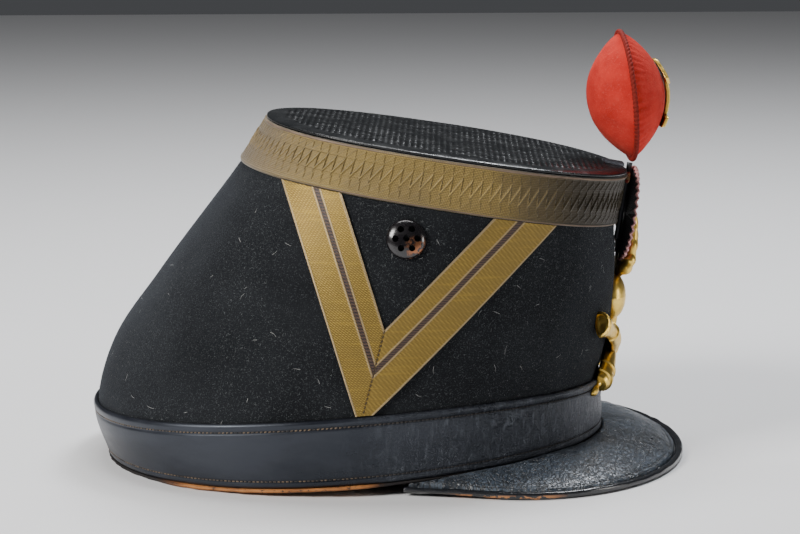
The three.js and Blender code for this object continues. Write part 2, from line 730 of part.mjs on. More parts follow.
// Brass numeral on the pompon's front, a plain figure one: flag, stem and foot. It is cut from a
// sheet that is bent back to the pompon's curve.
function numeral() {
  const half = numeralHeight / 2;
  const stroke = numeralStroke / 2;
  const shape = new THREE.Shape();
  shape.moveTo(-1.7 * numeralStroke, -half);
  shape.lineTo(1.7 * numeralStroke, -half);
  shape.lineTo(1.7 * numeralStroke, -half + 0.8 * numeralStroke);
  shape.lineTo(stroke, -half + 0.9 * numeralStroke);
  shape.lineTo(stroke, half);
  shape.lineTo(-stroke, half);
  shape.lineTo(-1.7 * numeralStroke, half - 1.5 * numeralStroke);
  shape.lineTo(-1.3 * numeralStroke, half - 2.1 * numeralStroke);
  shape.lineTo(-stroke, half - 1.5 * numeralStroke);
  shape.lineTo(-stroke, -half + 0.9 * numeralStroke);
  shape.lineTo(-1.7 * numeralStroke, -half + 0.8 * numeralStroke);
  const block = new THREE.ExtrudeGeometry(shape, { depth: pomponThickness, bevelEnabled: false });
  block.applyMatrix4(new THREE.Matrix4().makeBasis(new THREE.Vector3(0, 1, 0), new THREE.Vector3(0, 0, 1),
    new THREE.Vector3(1, 0, 0)));
  const pairs = [];
  for (const z of spaced(-half - stroke, half + stroke, 8)) {
    const x = puff(Math.abs(z) / (pomponHeight / 2)) + gap;
    for (const y of spaced(-2 * numeralStroke, 2 * numeralStroke, 2)) {
      pairs.push([new THREE.Vector3(x + numeralWall, y, z), new THREE.Vector3(x, y, z)]);
    }
  }
  const sheet = slab(pairs, gridTriangles(9, 3).map(([a, b, c]) => [a, c, b]));
  return fromManifold(toManifold(block).intersect(toManifold(sheet))).applyMatrix4(lean)
    .translate(pomponCentre.x, pomponCentre.y, pomponCentre.z);
}
addPiece('pompon_numeral', numeral(), brass);

// Small loop of cord beside the stem, flat on the lace band
function cordLoop() {
  const ring = new THREE.TorusGeometry(knotDiameter / 2, knotWire / 2, 6, 10);
  const forward = new THREE.Vector3(stemAxis.z, 0, -stemAxis.x);
  const turn = new THREE.Quaternion().setFromUnitVectors(new THREE.Vector3(0, 0, 1), forward);
  const level = levelDown(0, knotDrop);
  const place = offFelt(0, level, laceStand + gap + knotWire / 2);
  place.y = -(stemRadius + gap + (knotDiameter + knotWire) / 2);
  place.x += gap / 2;
  return ring.applyQuaternion(turn).translate(place.x, place.y, place.z);
}
addPiece('cord_loop', cordLoop(), darkRedCord);

// Leather tab behind the pompon's foot: it stands on the crown's front shoulder and leans back
function pomponTab() {
  const foot = onCrown(0, 0.965, crownShoulder + crownEdgeWall + 2 * gap);
  const pairs = [];
  for (const share of spaced(0, 1, 2)) {
    for (const across of [-1, 0, 1]) {
      const y = across * (tabWidth / 2) * (1 - 0.55 * share);
      const x = foot.x - tabReach * share;
      const z = foot.z + tabRise * share;
      pairs.push([new THREE.Vector3(x, y, z + tabWall), new THREE.Vector3(x, y, z)]);
    }
  }
  return slab(pairs, gridTriangles(3, 3).map(([a, b, c]) => [a, c, b]));
}
addPiece('pompon_tab', pomponTab(), greyMetal);

// Cockade: a flat disc of radial pleats that stands on the stem, parallel to it
function cockade() {
  const sides = 2 * pleatCount;
  const rings = [1.0, 0.5];
  const ahead = new THREE.Vector3(stemAxis.z, 0, -stemAxis.x);
  const stand = stemRadius + gap + cockadePleat + cockadeWall / 2;
  const centreZ = crownFront.z - cockadeDrop;
  const share = (centreZ - stemFoot.z) / (stemTop.z - stemFoot.z);
  const centre = stemLine(share).addScaledVector(ahead, stand);
  const place = (r, k, depth) => {
    const angle = (2 * Math.PI * k) / sides;
    const fold = (k % 2 === 0 ? 1 : -1) * cockadePleat * r;
    return centre.clone().addScaledVector(stemAxis, (cockadeDiameter / 2) * r * Math.sin(angle))
      .add(new THREE.Vector3(0, (cockadeDiameter / 2) * r * Math.cos(angle), 0))
      .addScaledVector(ahead, fold + depth);
  };
  const pairs = [];
  for (const r of rings) {
    for (let k = 0; k < sides; k += 1) pairs.push([place(r, k, cockadeWall / 2), place(r, k, -cockadeWall / 2)]);
  }
  const middle = pairs.push([place(0, 0, cockadeWall / 2), place(0, 0, -cockadeWall / 2)]) - 1;
  const triangles = [];
  for (let k = 0; k < sides; k += 1) {
    const next = (k + 1) % sides;
    for (let r = 0; r < rings.length - 1; r += 1) {
      const a = r * sides;
      const b = a + sides;
      triangles.push([a + k, a + next, b + next], [a + k, b + next, b + k]);
    }
    const a = (rings.length - 1) * sides;
    triangles.push([a + k, a + next, middle]);
  }
  return { geometry: slab(pairs, triangles), centre, ahead };
}
const cockadePiece = cockade();
addPiece('cockade', cockadePiece.geometry, cockadePaint);

// A point in front of the body at a given side distance and height, standing off the felt
function inFront(y, z, stand) {
  const level = (theta) => levelUp(theta, z - feltPoint(theta, 0).z);
  const theta = solve(0, 1.4, (angle) => Math.abs(y) - feltPoint(angle, level(angle)).y);
  const point = offFelt(theta, level(theta), stand);
  point.y *= Math.sign(y) || 1;
  return point;
}

const ballZ = crownFront.z - ballDrop;
const barrelZ = ballZ - barrelDrop;

// Brass badge, one soldered solid: a flaming grenade over two crossed cannon barrels.
// The barrel's table gives its radius as a share of the breech's, from the breech to the muzzle.
const barrelProfile = [
  { along: 0.00, radius: 0.20 }, { along: 0.03, radius: 0.45 }, { along: 0.07, radius: 0.45 },
  { along: 0.09, radius: 0.25 }, { along: 0.12, radius: 0.70 }, { along: 0.16, radius: 1.00 },
  { along: 0.22, radius: 1.00 }, { along: 0.24, radius: 0.86 }, { along: 0.45, radius: 0.80 },
  { along: 0.47, radius: 0.88 }, { along: 0.50, radius: 0.76 }, { along: 0.82, radius: 0.66 },
  { along: 0.84, radius: 0.78 }, { along: 0.87, radius: 0.62 }, { along: 0.96, radius: 0.84 },
  { along: 1.00, radius: 0.92 },
];
function barrel(side, lift) {
  const reach = barrelLength * Math.cos(radians(barrelAngle));
  const rise = barrelLength * Math.sin(radians(barrelAngle));
  const stand = 0.7 * barrelRadius;
  const last = barrelProfile.length - 1;
  const spine = (u) => {
    const row = Math.min(Math.floor(u * last), last - 1);
    const between = u * last - row;
    const along = barrelProfile[row].along * (1 - between) + barrelProfile[row + 1].along * between;
    const past = along - barrelCrossShare;
    return inFront(side * reach * past, barrelZ + rise * past, stand + lift * (1 - (2 * past) ** 2));
  };
  const radius = (u) => barrelRadius * barrelProfile[Math.round(u * last)].radius;
  return toManifold(bar(spine, radius, last, 8));
}

// Flame tongues: side and up give each tip, as shares of the flame's reach and height
const tongues = [
  { side: 0.00, up: 1.00 }, { side: 0.52, up: 0.86 }, { side: -0.52, up: 0.86 },
  { side: 1.00, up: 0.60 }, { side: -1.00, up: 0.60 },
];
function flame(tongue) {
  const root = inFront(0, ballZ + ballDiameter * 0.42, 2.0);
  const front = cockadePiece.centre.clone().addScaledVector(cockadePiece.ahead,
    cockadeWall / 2 + cockadePleat + gap + 1.6);
  const tipZ = root.z + flameHeight * tongue.up;
  const tipX = front.x - ((tipZ - front.z) * cockadePiece.ahead.z) / cockadePiece.ahead.x;
  const spine = (u) => new THREE.Vector3(
    root.x + (tipX - root.x) * Math.sin((u * Math.PI) / 2),
    flameReach * tongue.side * Math.sin(u * Math.PI * 0.62) / Math.sin(Math.PI * 0.62),
    root.z + (tipZ - root.z) * u,
  );
  const radius = (u) => flameSize * (0.12 + 0.95 * Math.sin(Math.PI * (0.12 + 0.86 * u)) ** 0.8);
  return toManifold(bar(spine, radius, 6, 6));
}

function frontBadge() {
  const ball = new THREE.SphereGeometry(1, 16, 8);
  const seat = inFront(0, ballZ, 0);
  ball.scale(ballProud, ballDiameter / 2, ballDiameter / 2).translate(seat.x, seat.y, seat.z);
  let solid = toManifold(ball);
  const neck = (u) => inFront(0, barrelZ + (ballZ - barrelZ) * u, neckRadius / 2);
  solid = solid.add(barrel(1, 0)).add(barrel(-1, barrelLift));
  solid = solid.add(toManifold(bar(neck, () => neckRadius, 3, 8)));
  for (const tongue of tongues) solid = solid.add(flame(tongue));
  const disc = new THREE.CylinderGeometry(cockadeDiameter / 2 + gap, cockadeDiameter / 2 + gap,
    cockadeWall + 2 * (cockadePleat + gap), 24);
  const turn = new THREE.Quaternion().setFromUnitVectors(new THREE.Vector3(0, 1, 0), cockadePiece.ahead);
  const { centre } = cockadePiece;
  solid = solid.subtract(toManifold(disc.applyQuaternion(turn).translate(centre.x, centre.y, centre.z)));
  solid = solid.subtract(filledBody(gap, () => 1));
  solid = solid.subtract(filledBody(bandStand + gap, (theta) => bandTop(theta, gap)));
  return fromManifold(solid);
}
addPiece('front_badge', frontBadge(), brass);

// The origin is at the middle of the outermost box, on the table
const box = new THREE.Box3().setFromObject(model);
model.position.x = -(box.min.x + box.max.x) / 2;

export default model;
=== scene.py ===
"""An infantry shako of felt and leather on a pale table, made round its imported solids.

Metres, +Z up, the front of the shako towards +X and the wearer's left towards +Y.
"""

import bmesh
import bpy
import numpy as np
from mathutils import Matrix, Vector


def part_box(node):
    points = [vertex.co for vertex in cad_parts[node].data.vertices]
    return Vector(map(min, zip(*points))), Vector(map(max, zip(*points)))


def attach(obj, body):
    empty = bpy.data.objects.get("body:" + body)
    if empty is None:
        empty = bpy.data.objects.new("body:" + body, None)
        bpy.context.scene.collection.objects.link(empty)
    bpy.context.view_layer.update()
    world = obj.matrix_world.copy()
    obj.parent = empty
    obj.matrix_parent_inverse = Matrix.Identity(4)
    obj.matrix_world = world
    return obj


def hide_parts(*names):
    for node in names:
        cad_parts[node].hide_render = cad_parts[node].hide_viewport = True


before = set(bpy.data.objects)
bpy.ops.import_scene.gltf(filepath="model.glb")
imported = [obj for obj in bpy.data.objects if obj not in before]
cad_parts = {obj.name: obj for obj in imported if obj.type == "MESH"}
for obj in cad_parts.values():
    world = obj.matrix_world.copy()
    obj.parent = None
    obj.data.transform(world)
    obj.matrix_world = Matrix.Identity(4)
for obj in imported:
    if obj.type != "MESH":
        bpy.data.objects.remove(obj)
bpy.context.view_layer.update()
mm = 0.001

# Camera and studio. The camera stands at the wearer's right, a little above the brow of the shako,
# a metre away, so the rim's near side looks lower than its far side. Soft light falls from the rear
# quarter on the camera's side, and the front of the shako turns away from it.
azimuth, elevation, distance = np.radians(-4.0), np.radians(9.72), 1.1
target = Vector((4.63 * mm, 0, 76.97 * mm))
to_camera = Vector((np.sin(azimuth) * np.cos(elevation),
                    -np.cos(azimuth) * np.cos(elevation),
                    np.sin(elevation)))


def stand_in_scene(name, data, place=(0, 0, 0)):
    """An object of the scene, from its camera, light or mesh."""
    thing = bpy.data.objects.new(name, data)
    thing.location = place
    bpy.context.scene.collection.objects.link(thing)
    return thing


camera = stand_in_scene("camera", bpy.data.cameras.new("camera"), target + distance * to_camera)
camera.rotation_euler = to_camera.to_track_quat("Z", "Y").to_euler()
camera.data.lens = 117.8
camera.data.sensor_width = 36
bpy.context.scene.camera = camera


def softbox(name, place, size, power, color=(1, 1, 1)):
    """An area light that looks at the middle of the shako."""
    light = stand_in_scene(name, bpy.data.lights.new(name, "AREA"), place)
    light.rotation_euler = (Vector(place) - target).to_track_quat("Z", "Y").to_euler()
    light.data.shape = "RECTANGLE"
    light.data.size, light.data.size_y = size
    light.data.energy = power
    light.data.color = color


softbox("key_light", (-1.2, -0.78, 1.0), (0.6, 0.6), 38, (1, 0.98, 0.95))
softbox("top_light", (0.0, 0.35, 1.2), (0.8, 0.4), 10)
softbox("back_light", (0.45, 0.5, 1.2), (0.35, 0.3), 14, (0.93, 0.96, 1))
softbox("front_light", (1.3, -0.55, 0.3), (0.3, 0.4), 4, (1, 0.98, 0.94))
world = bpy.data.worlds.new("studio")
bpy.context.scene.world = world
world.use_nodes = True
world.node_tree.nodes["Background"].inputs["Color"].default_value = (0.62, 0.64, 0.68, 1)
world.node_tree.nodes["Background"].inputs["Strength"].default_value = 0.1


def add(tree, kind, inputs=None, **settings):
    """A shader node with its settings, each input given as a value or as another node's socket."""
    node = tree.nodes.new("ShaderNode" + kind)
    for key, value in settings.items():
        setattr(node, key, value)
    for key, value in (inputs or {}).items():
        if isinstance(value, bpy.types.NodeSocket):
            tree.links.new(value, node.inputs[key])
        else:
            node.inputs[key].default_value = value
    return node


def new_finish(name, **sockets):
    """A material: its node tree and its principled shader, whose even values are set on the shader."""
    material = bpy.data.materials.new(name)
    material.use_nodes = True
    shader = material.node_tree.nodes["Principled BSDF"]
    for key, value in sockets.items():
        socket = key.replace("_", " ").title().replace("Ior", "IOR")
        shader.inputs[socket].default_value = value
    return material, material.node_tree, shader


floor_finish, tree, shader = new_finish("pale_floor", base_color=(0.78, 0.78, 0.79, 1), roughness=0.55)
floor_half, floor_drop = 2.5, 0.0001
corners = [(x, y, -floor_drop) for x in (-floor_half, floor_half) for y in (-floor_half, floor_half)]
floor_mesh = bpy.data.meshes.new("floor")
floor_mesh.from_pydata(corners, [], [(0, 2, 3, 1)])
floor_mesh.materials.append(floor_finish)
stand_in_scene("floor", floor_mesh)

# Felt body. Black wool felt blocked to shape: an upright front, a long slope behind and a rim that
# arches up off the table at the sides. Every band and ornament is laid on this surface.
head_length, head_width = 204.6 * mm, 165.6 * mm
body_height, crown_fall = 140.2 * mm, 22.6 * mm
rim_rear_lift, rim_side_lift, rim_front_lift = 1.4 * mm, 5.0 * mm, 10.5 * mm
felt_wall = 2.6 * mm
gap = 0.3 * mm
peak_reach = 138.3 * mm
origin_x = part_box("peak_binding")[1].x - peak_reach
# level, rear, front, width, square, egg, z_rear, z_side, z_front, sweep. rear and front are shares of
# half the head length, width of half the head width, square is a superellipse's exponent, egg widens
# the rear, the three z run from 0 at the rim to 1 at the crown's edge, and sweep bends a section.
sections = np.array([
    [0.00, 1.000, 1.000, 1.000, 2.05, 0.050, 0.000, 0.000, 0.000, 0.014],
    [0.20, 1.058, 1.001, 1.022, 2.05, 0.050, 0.157, 0.217, 0.209, 0.035],
    [0.36, 0.982, 1.039, 1.007, 2.08, 0.045, 0.346, 0.391, 0.394, 0.021],
    [0.53, 0.808, 1.058, 0.957, 2.12, 0.030, 0.531, 0.575, 0.570, 0.010],
    [0.69, 0.626, 1.061, 0.896, 2.20, 0.015, 0.708, 0.727, 0.709, 0.004],
    [0.84, 0.458, 1.056, 0.843, 2.25, 0.000, 0.876, 0.851, 0.815, 0.000],
    [1.00, 0.348, 1.095, 0.760, 2.25, 0.000, 1.000, 1.000, 1.000, 0.000],
])


def section_values(level):
    """Each column of the table at any level: a cubic between rows, with the mean slope at each row."""
    rows = sections[:, 0]
    last = len(rows) - 1
    before = np.maximum(np.arange(last + 1) - 1, 0)
    after = np.minimum(np.arange(last + 1) + 1, last)
    slope = (sections[after] - sections[before]) / (rows[after] - rows[before])[:, None]
    i = np.clip(np.searchsorted(rows, level) - 1, 0, last - 1)
    step = (rows[i + 1] - rows[i])[..., None]
    t = (level - rows[i])[..., None] / step
    ends = t * t * (3 - 2 * t) * (sections[i + 1] - sections[i])
    bends = step * t * (1 - t) * ((1 - t) * slope[i] - t * slope[i + 1])
    values = sections[i] + ends + bends
    return [values[..., k] for k in range(1, sections.shape[1])]


def felt_point(theta, level):
    """The felt's outer face: theta is 0 in front and a quarter turn at the wearer's left. A section is
    a superellipse between its rear and front, and its height is a quadratic in its x."""
    theta, level = np.broadcast_arrays(np.asarray(theta, float), np.asarray(level, float))
    rear, front, width, square, egg, z_rear, z_side, z_front, sweep = section_values(level)
    c, s = np.cos(theta), np.sin(theta)
    along = np.sign(c) * np.abs(c) ** (2 / square)
    across = np.sign(s) * np.abs(s) ** (2 / square)
    low_rear = rim_rear_lift + z_rear * (body_height - rim_rear_lift)
    low_side = rim_side_lift + z_side * (body_height - crown_fall / 2 - rim_side_lift)
    low_front = rim_front_lift + z_front * (body_height - crown_fall - rim_front_lift)
    x = origin_x + (head_length / 4) * (front - rear + (front + rear) * along)
    y = (head_width / 2) * width * across * (1 - egg * along)
    z = low_side + (low_front - low_rear) / 2 * along + ((low_front + low_rear) / 2 - low_side) * along**2
    return np.stack([x, y, z + sweep * body_height * c * s * s], -1)


def unit(vectors):
    """Vectors divided by their lengths."""
    return vectors / np.linalg.norm(vectors, axis=-1, keepdims=True)


def felt_normal(theta, level):
    """The outward normal, from small steps round and up; at the rim itself it is level."""
    theta, level = np.broadcast_arrays(np.asarray(theta, float), np.asarray(level, float))
    step = 0.004
    around = felt_point(theta + step, level) - felt_point(theta - step, level)
    rise = felt_point(theta, np.minimum(level + step, 1)) - felt_point(theta, np.maximum(level - step, 0))
    normal = np.cross(around, rise)
    normal[..., 2] *= np.clip(level / 0.02, 0, 1)
    return unit(normal)


def off_felt(theta, level, stand):
    """A point that stands off the felt's outer face along its normal."""
    return felt_point(theta, level) + felt_normal(theta, level) * np.asarray(stand)[..., None]


def solve(low, high, falling):
    """The root of a falling function between two bounds, for a whole array at once, by halving."""
    for _ in range(36):
        middle = (low + high) / 2
        above = falling(middle) > 0
        low, high = np.where(above, middle, low), np.where(above, high, middle)
    return (low + high) / 2


def level_up(theta, rise):
    """The level whose height over the rim is a given rise."""
    foot = felt_point(theta, 0.0)[..., 2]
    return solve(0 * theta, 0 * theta + 1,
                 lambda level: rise - (felt_point(theta, level)[..., 2] - foot))


def level_at(theta, z):
    """The level whose height over the table is z."""
    return level_up(theta, z - felt_point(theta, 0.0)[..., 2])


def level_down(theta, wall):
    """The level that lies a given distance of wall below the crown's edge."""
    edge = felt_point(theta, 1.0)
    return solve(0 * theta, 0 * theta + 1,
                 lambda level: np.linalg.norm(felt_point(theta, level) - edge, axis=-1) - wall)


def waves(points, wavelength, amplitude, seed, count=14):
    """A smooth uneven field: the mean of a few plane waves in random directions, scaled to an amplitude."""
    random = np.random.default_rng(seed)
    direction = unit(random.normal(size=(count, 3)))
    turns = 2 * np.pi / (wavelength * random.uniform(0.7, 1.5, count))
    phase = random.uniform(0, 2 * np.pi, count)
    angle = points @ (direction * turns[:, None]).T + phase
    return amplitude * np.sin(angle).sum(-1) / np.sqrt(count / 2)


def make_piece(name, vertices, faces, material, replaces=(), corner_uv=None):
    """A mesh object at the origin, from arrays or lists of corner points and faces, that rides on the
    body."""
    mesh = bpy.data.meshes.new(name)
    mesh.from_pydata(vertices.tolist(), [], faces if isinstance(faces, list) else faces.tolist())
    if corner_uv is not None:
        mesh.uv_layers.new(name="UVMap").data.foreach_set("uv", corner_uv.astype(np.float32).ravel())
    mesh.polygons.foreach_set("use_smooth", np.ones(len(mesh.polygons), bool))
    mesh.materials.append(material)
    piece = stand_in_scene(name, mesh)
    if replaces:
        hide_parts(*replaces)
    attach(piece, "root")
    return piece


def grid_faces(rows, columns, wrap_rows=False, wrap_columns=False, first=0):
    """Four-cornered faces between neighbours of a grid of points, numbered row by row."""
    i, j = np.meshgrid(np.arange(rows - (not wrap_rows)), np.arange(columns - (not wrap_columns)),
                       indexing="ij")
    below, right = (i + 1) % rows, (j + 1) % columns
    corners = [i * columns + j, below * columns + j, below * columns + right, i * columns + right]
    return first + np.stack(corners, -1).reshape(-1, 4)


def make_tube(name, points, material, replaces=(), corner_uv=None, wrap=True):
    """A piece from one grid of points whose rows close round the body, as its columns do with wrap."""
    faces = grid_faces(*points.shape[:2], True, wrap)
    return make_piece(name, points.reshape(-1, 3), faces, material, replaces, corner_uv)


def full_turn(count):
    """Angles evenly round a full turn, its end left out."""
    return np.linspace(0, 2 * np.pi, count + 1)[:-1]


def grid_uv(row_values, column_values):
    """The map coordinates of each face's corners, from a value at each row line and column line."""
    i, j = np.meshgrid(np.arange(len(row_values) - 1), np.arange(len(column_values) - 1), indexing="ij")
    us = np.stack([row_values[i], row_values[i + 1], row_values[i + 1], row_values[i]], -1)
    vs = np.stack([column_values[j], column_values[j], column_values[j + 1], column_values[j + 1]], -1)
    return np.stack([us, vs], -1).reshape(-1, 2)


def own_place(tree):
    """The place of each point of the piece, in metres."""
    return add(tree, "TexCoord").outputs["Object"]


def noise(tree, vector, scale, detail=2.0, roughness=0.5, distortion=0.0):
    """A noise texture's value, for a pattern of a given scale per metre."""
    inputs = {"Vector": vector, "Scale": scale, "Detail": detail, "Roughness": roughness,
              "Distortion": distortion}
    return add(tree, "TexNoise", inputs).outputs["Fac"]


def ramp(tree, value, low, high, to_low=0.0, to_high=1.0):
    """A value carried smoothly from one range to another and held at its ends."""
    inputs = {"Value": value, "From Min": low, "From Max": high, "To Min": to_low, "To Max": to_high}
    return add(tree, "MapRange", inputs, interpolation_type="SMOOTHSTEP").outputs["Result"]


def mixed(tree, factor, first, second):
    """Two colours mixed by a factor."""
    return add(tree, "Mix", {0: factor, 6: first, 7: second}, data_type="RGBA").outputs[2]


def maths(tree, operation, first, second=0.0):
    """One step of arithmetic."""
    return add(tree, "Math", {0: first, 1: second}, operation=operation).outputs[0]


def times(tree, first, second):
    """The product of two values."""
    return maths(tree, "MULTIPLY", first, second)


def paint(tree, shader, colour):
    """Gives the shader its colour from a node."""
    tree.links.new(colour, shader.inputs["Base Color"])


def bumped(tree, shader, height, distance, strength=1.0, normal=None):
    """A bump from a height, linked to the shader, on top of another normal if there is one."""
    inputs = {"Height": height, "Distance": distance, "Strength": strength}
    if normal is not None:
        inputs["Normal"] = normal
    node = add(tree, "Bump", inputs)
    tree.links.new(node.outputs["Normal"], shader.inputs["Normal"])
    return node.outputs["Normal"]


def stretched(tree, vector, scale):
    """Coordinates scaled by a different amount along each axis."""
    return add(tree, "Mapping", {"Vector": vector, "Scale": scale}).outputs["Vector"]


def split(tree, vector):
    """The three parts of a vector."""
    return add(tree, "SeparateXYZ", {"Vector": vector}).outputs


felt_finish, tree, shader = new_finish("body_felt_finish", roughness=0.95, specular_ior_level=0.12,
                                       sheen_weight=0.12, sheen_roughness=0.5,
                                       sheen_tint=(0.45, 0.5, 0.6, 1))
place = own_place(tree)
cloud = noise(tree, place, 45, 4)
fibre = noise(tree, stretched(tree, place, (900, 900, 2200)), 1.0, 3, 0.7, 1.2)
speck = ramp(tree, noise(tree, place, 1900, 2, 0.6), 0.56, 0.68)
base = mixed(tree, ramp(tree, cloud, 0.3, 0.7), (0.0060, 0.0066, 0.0078, 1), (0.0110, 0.0122, 0.0140, 1))
base = mixed(tree, ramp(tree, fibre, 0.5, 0.8, 0.0, 0.7), base, (0.020, 0.023, 0.026, 1))
base = mixed(tree, times(tree, speck, 0.5), base, (0.070, 0.076, 0.080, 1))
paint(tree, shader, base)
lumps = bumped(tree, shader, cloud, 0.0012, 0.5)
bumped(tree, shader, fibre, 0.0004, 0.9, lumps)

turn = full_turn(360)[:, None]
outer_levels, inner_levels = np.linspace(0, 1, 131), np.linspace(1, 0, 41)
profile = np.concatenate([outer_levels, inner_levels])
stand = np.where(np.arange(len(profile)) < len(outer_levels), 0.0, -felt_wall)
points = off_felt(turn, profile, stand)
dents = waves(points, 55 * mm, 0.16 * mm, 3)
points += felt_normal(turn, profile) * np.where(stand == 0, dents, 0)[..., None]
make_tube("felt_shell", points, felt_finish, ["felt_body"])


def fibres(root, normal, length, width, lift, seed):
    """Short bent hairs on a surface: each is a narrow ribbon of two quads that leaves its root in a
    random direction, rises a little off the surface and bends sideways."""
    random = np.random.default_rng(seed)
    count = len(root)
    ahead = unit(np.cross(normal, unit(random.normal(size=(count, 3)))))
    side = np.cross(normal, ahead)
    reach = (length * random.uniform(0.4, 1.0, count))[:, None]
    bend = random.uniform(-0.6, 0.6, count)[:, None]
    rise = (lift * random.uniform(0.15, 1.0, count))[:, None]
    spine = np.stack([root + ahead * reach * share + side * reach * bend * share**2 + normal * rise * share
                      for share in (0.0, 0.5, 1.0)], 1)
    half = side[:, None] * width / 2 * np.array([1.0, 1.0, 0.35])[None, :, None]
    vertices = np.stack([spine - half, spine + half], 2).reshape(-1, 3)
    first = np.arange(count)[:, None] * 6
    quads = np.array([[0, 2, 3, 1], [2, 4, 5, 3]])
    return vertices, (first[:, :, None] + quads[None]).reshape(-1, 4)


def scatter(random, count, low, high, stand):
    """Random places on the felt between two levels: points that stand off it, and its normals."""
    angles, levels = random.uniform(0, 2 * np.pi, count), random.uniform(low, high, count)
    return off_felt(angles, levels, stand), felt_normal(angles, levels)


hair_count, lint_count = 46000, 130
random = np.random.default_rng(5)
hair_finish, tree, shader = new_finish("felt_hair_finish", roughness=0.8, specular_ior_level=0.2)
shade = ramp(tree, noise(tree, own_place(tree), 900, 1), 0.4, 0.75)
paint(tree, shader, mixed(tree, shade, (0.022, 0.025, 0.028, 1), (0.21, 0.225, 0.23, 1)))
roots, normals = scatter(random, hair_count, 0.15, 0.88, 0.05 * mm)
vertices, faces = fibres(roots, normals, 0.95 * mm, 0.07 * mm, 0.2 * mm, 6)
make_piece("felt_hairs", vertices, faces, hair_finish)

lint_finish, tree, shader = new_finish("lint_finish", roughness=0.8)
shade = noise(tree, own_place(tree), 300, 1)
paint(tree, shader, mixed(tree, shade, (0.2, 0.21, 0.22, 1), (0.6, 0.6, 0.58, 1)))
roots, normals = scatter(random, lint_count, 0.2, 0.8, 0.1 * mm)
vertices, faces = fibres(roots, normals, 3.6 * mm, 0.11 * mm, 0.5 * mm, 8)
make_piece("felt_lint", vertices, faces, lint_finish)

# Crown. A disc of black leather embossed with small squares, its edge rolled over the top of the
# felt and the lace. The rolled shoulder is smooth and shiny.
crown_shoulder, crown_dome, crown_edge_wall = 1.2 * mm, 0.5 * mm, 0.5 * mm
lace_wall = 1.2 * mm
crown_middle = (felt_point(0.0, 1.0) + felt_point(np.pi, 1.0)) / 2
crown_tilt = np.arctan2(crown_fall, felt_point(0.0, 1.0)[0] - felt_point(np.pi, 1.0)[0])
crown_up = np.array([np.sin(crown_tilt), 0, np.cos(crown_tilt)])
crown_ahead = np.array([np.cos(crown_tilt), 0, -np.sin(crown_tilt)])


def on_crown(theta, inward, lift):
    """A point over the plane of the crown's edge, at a share of the way out from its middle."""
    edge = off_felt(theta, 1.0, lace_wall)
    return crown_middle + (edge - crown_middle) * inward[..., None] + crown_up * (gap + lift)[..., None]


def relief_height(tree):
    """The relief that is kept at the piece's corner points, from 0 to 1."""
    return add(tree, "Attribute", attribute_name="relief").outputs["Fac"]


crown_finish, tree, shader = new_finish("crown_leather_finish", roughness=0.28, specular_ior_level=0.35)
place = own_place(tree)
height = relief_height(tree)
rubbed = times(tree, ramp(tree, noise(tree, place, 60, 5, 0.65), 0.4, 0.7), ramp(tree, height, 0.5, 0.9))
tone = mixed(tree, ramp(tree, height, 0.1, 0.7), (0.0025, 0.0027, 0.0032, 1), (0.008, 0.009, 0.010, 1))
paint(tree, shader, mixed(tree, rubbed, tone, (0.022, 0.023, 0.025, 1)))
tree.links.new(ramp(tree, noise(tree, place, 130, 4), 0.3, 0.7, 0.18, 0.34), shader.inputs["Roughness"])
grain = add(tree, "TexVoronoi", {"Vector": place, "Scale": 1500.0}).outputs["Distance"]
bumped(tree, shader, grain, 0.00012, 0.5)


def around_grid(rows, columns):
    """The numbers of the points on the border of a grid, in order round it."""
    count = rows * columns
    return np.concatenate([np.arange(columns), np.arange(2 * columns - 1, count, columns),
                           np.arange(count - 2, count - columns - 1, -1),
                           np.arange(count - 2 * columns, 0, -columns)])


def set_relief(piece, values):
    """A value from 0 to 1 at each corner point, which the piece's material reads."""
    relief = piece.data.attributes.new("relief", "FLOAT", "POINT")
    relief.data.foreach_set("value", np.clip(values, 0, 1).ravel())


def mend(piece, merge=0.0, turn_out=True):
    """Joins the points that lie closer than a distance, and turns every face outwards."""
    work = bmesh.new()
    work.from_mesh(piece.data)
    if merge:
        bmesh.ops.remove_doubles(work, verts=work.verts, dist=merge)
    if turn_out:
        bmesh.ops.recalc_face_normals(work, faces=work.faces)
    work.to_mesh(piece.data)
    work.free()


# The middle is a square grid pressed into a disc, so the embossing is sampled evenly; the rolled
# shoulder and the underside go on from its border.
square_pitch, square_height, shoulder_share, square_turn = 2.4 * mm, 0.55 * mm, 0.92, np.radians(-5)
rows, columns = 300, 260
a, b = np.meshgrid(np.linspace(-1, 1, rows), np.linspace(-1, 1, columns), indexing="ij")
right, ahead_part = b * np.sqrt(1 - a * a / 2), a * np.sqrt(1 - b * b / 2)
theta, share = np.arctan2(right, ahead_part), np.hypot(right, ahead_part) * shoulder_share
flat = crown_shoulder + crown_edge_wall + crown_dome * (1 - share**2)
top = on_crown(theta, share, flat)
straight, across = (top - crown_middle) @ crown_ahead, top[..., 1]
along = straight * np.cos(square_turn) + across * np.sin(square_turn)
across = across * np.cos(square_turn) - straight * np.sin(square_turn)
bosses = (np.abs(np.sin(np.pi * along / square_pitch)) ** 0.8
          * np.abs(np.sin(np.pi * across / square_pitch)) ** 0.6)
fade = np.clip((0.91 - share) / 0.03, 0, 1)
lift = square_height * (bosses - 0.55) * fade + waves(top, 60 * mm, 0.28 * mm, 11) * (1 - share**4)
top += crown_up * lift[..., None]
border = around_grid(rows, columns)
rim_theta = theta.ravel()[border]
roll = np.linspace(0, np.pi / 2, 12)[::-1]
ring_share = np.concatenate([shoulder_share + (1 - shoulder_share) * np.cos(roll[1:]), [1.0, 0.8, 0.5, 0.02]])
ring_lift = np.concatenate([crown_shoulder * np.sin(roll[1:]) + crown_edge_wall, [0, 0, 0, 0]])
ring_lift[:11] += crown_dome * (1 - ring_share[:11] ** 2)
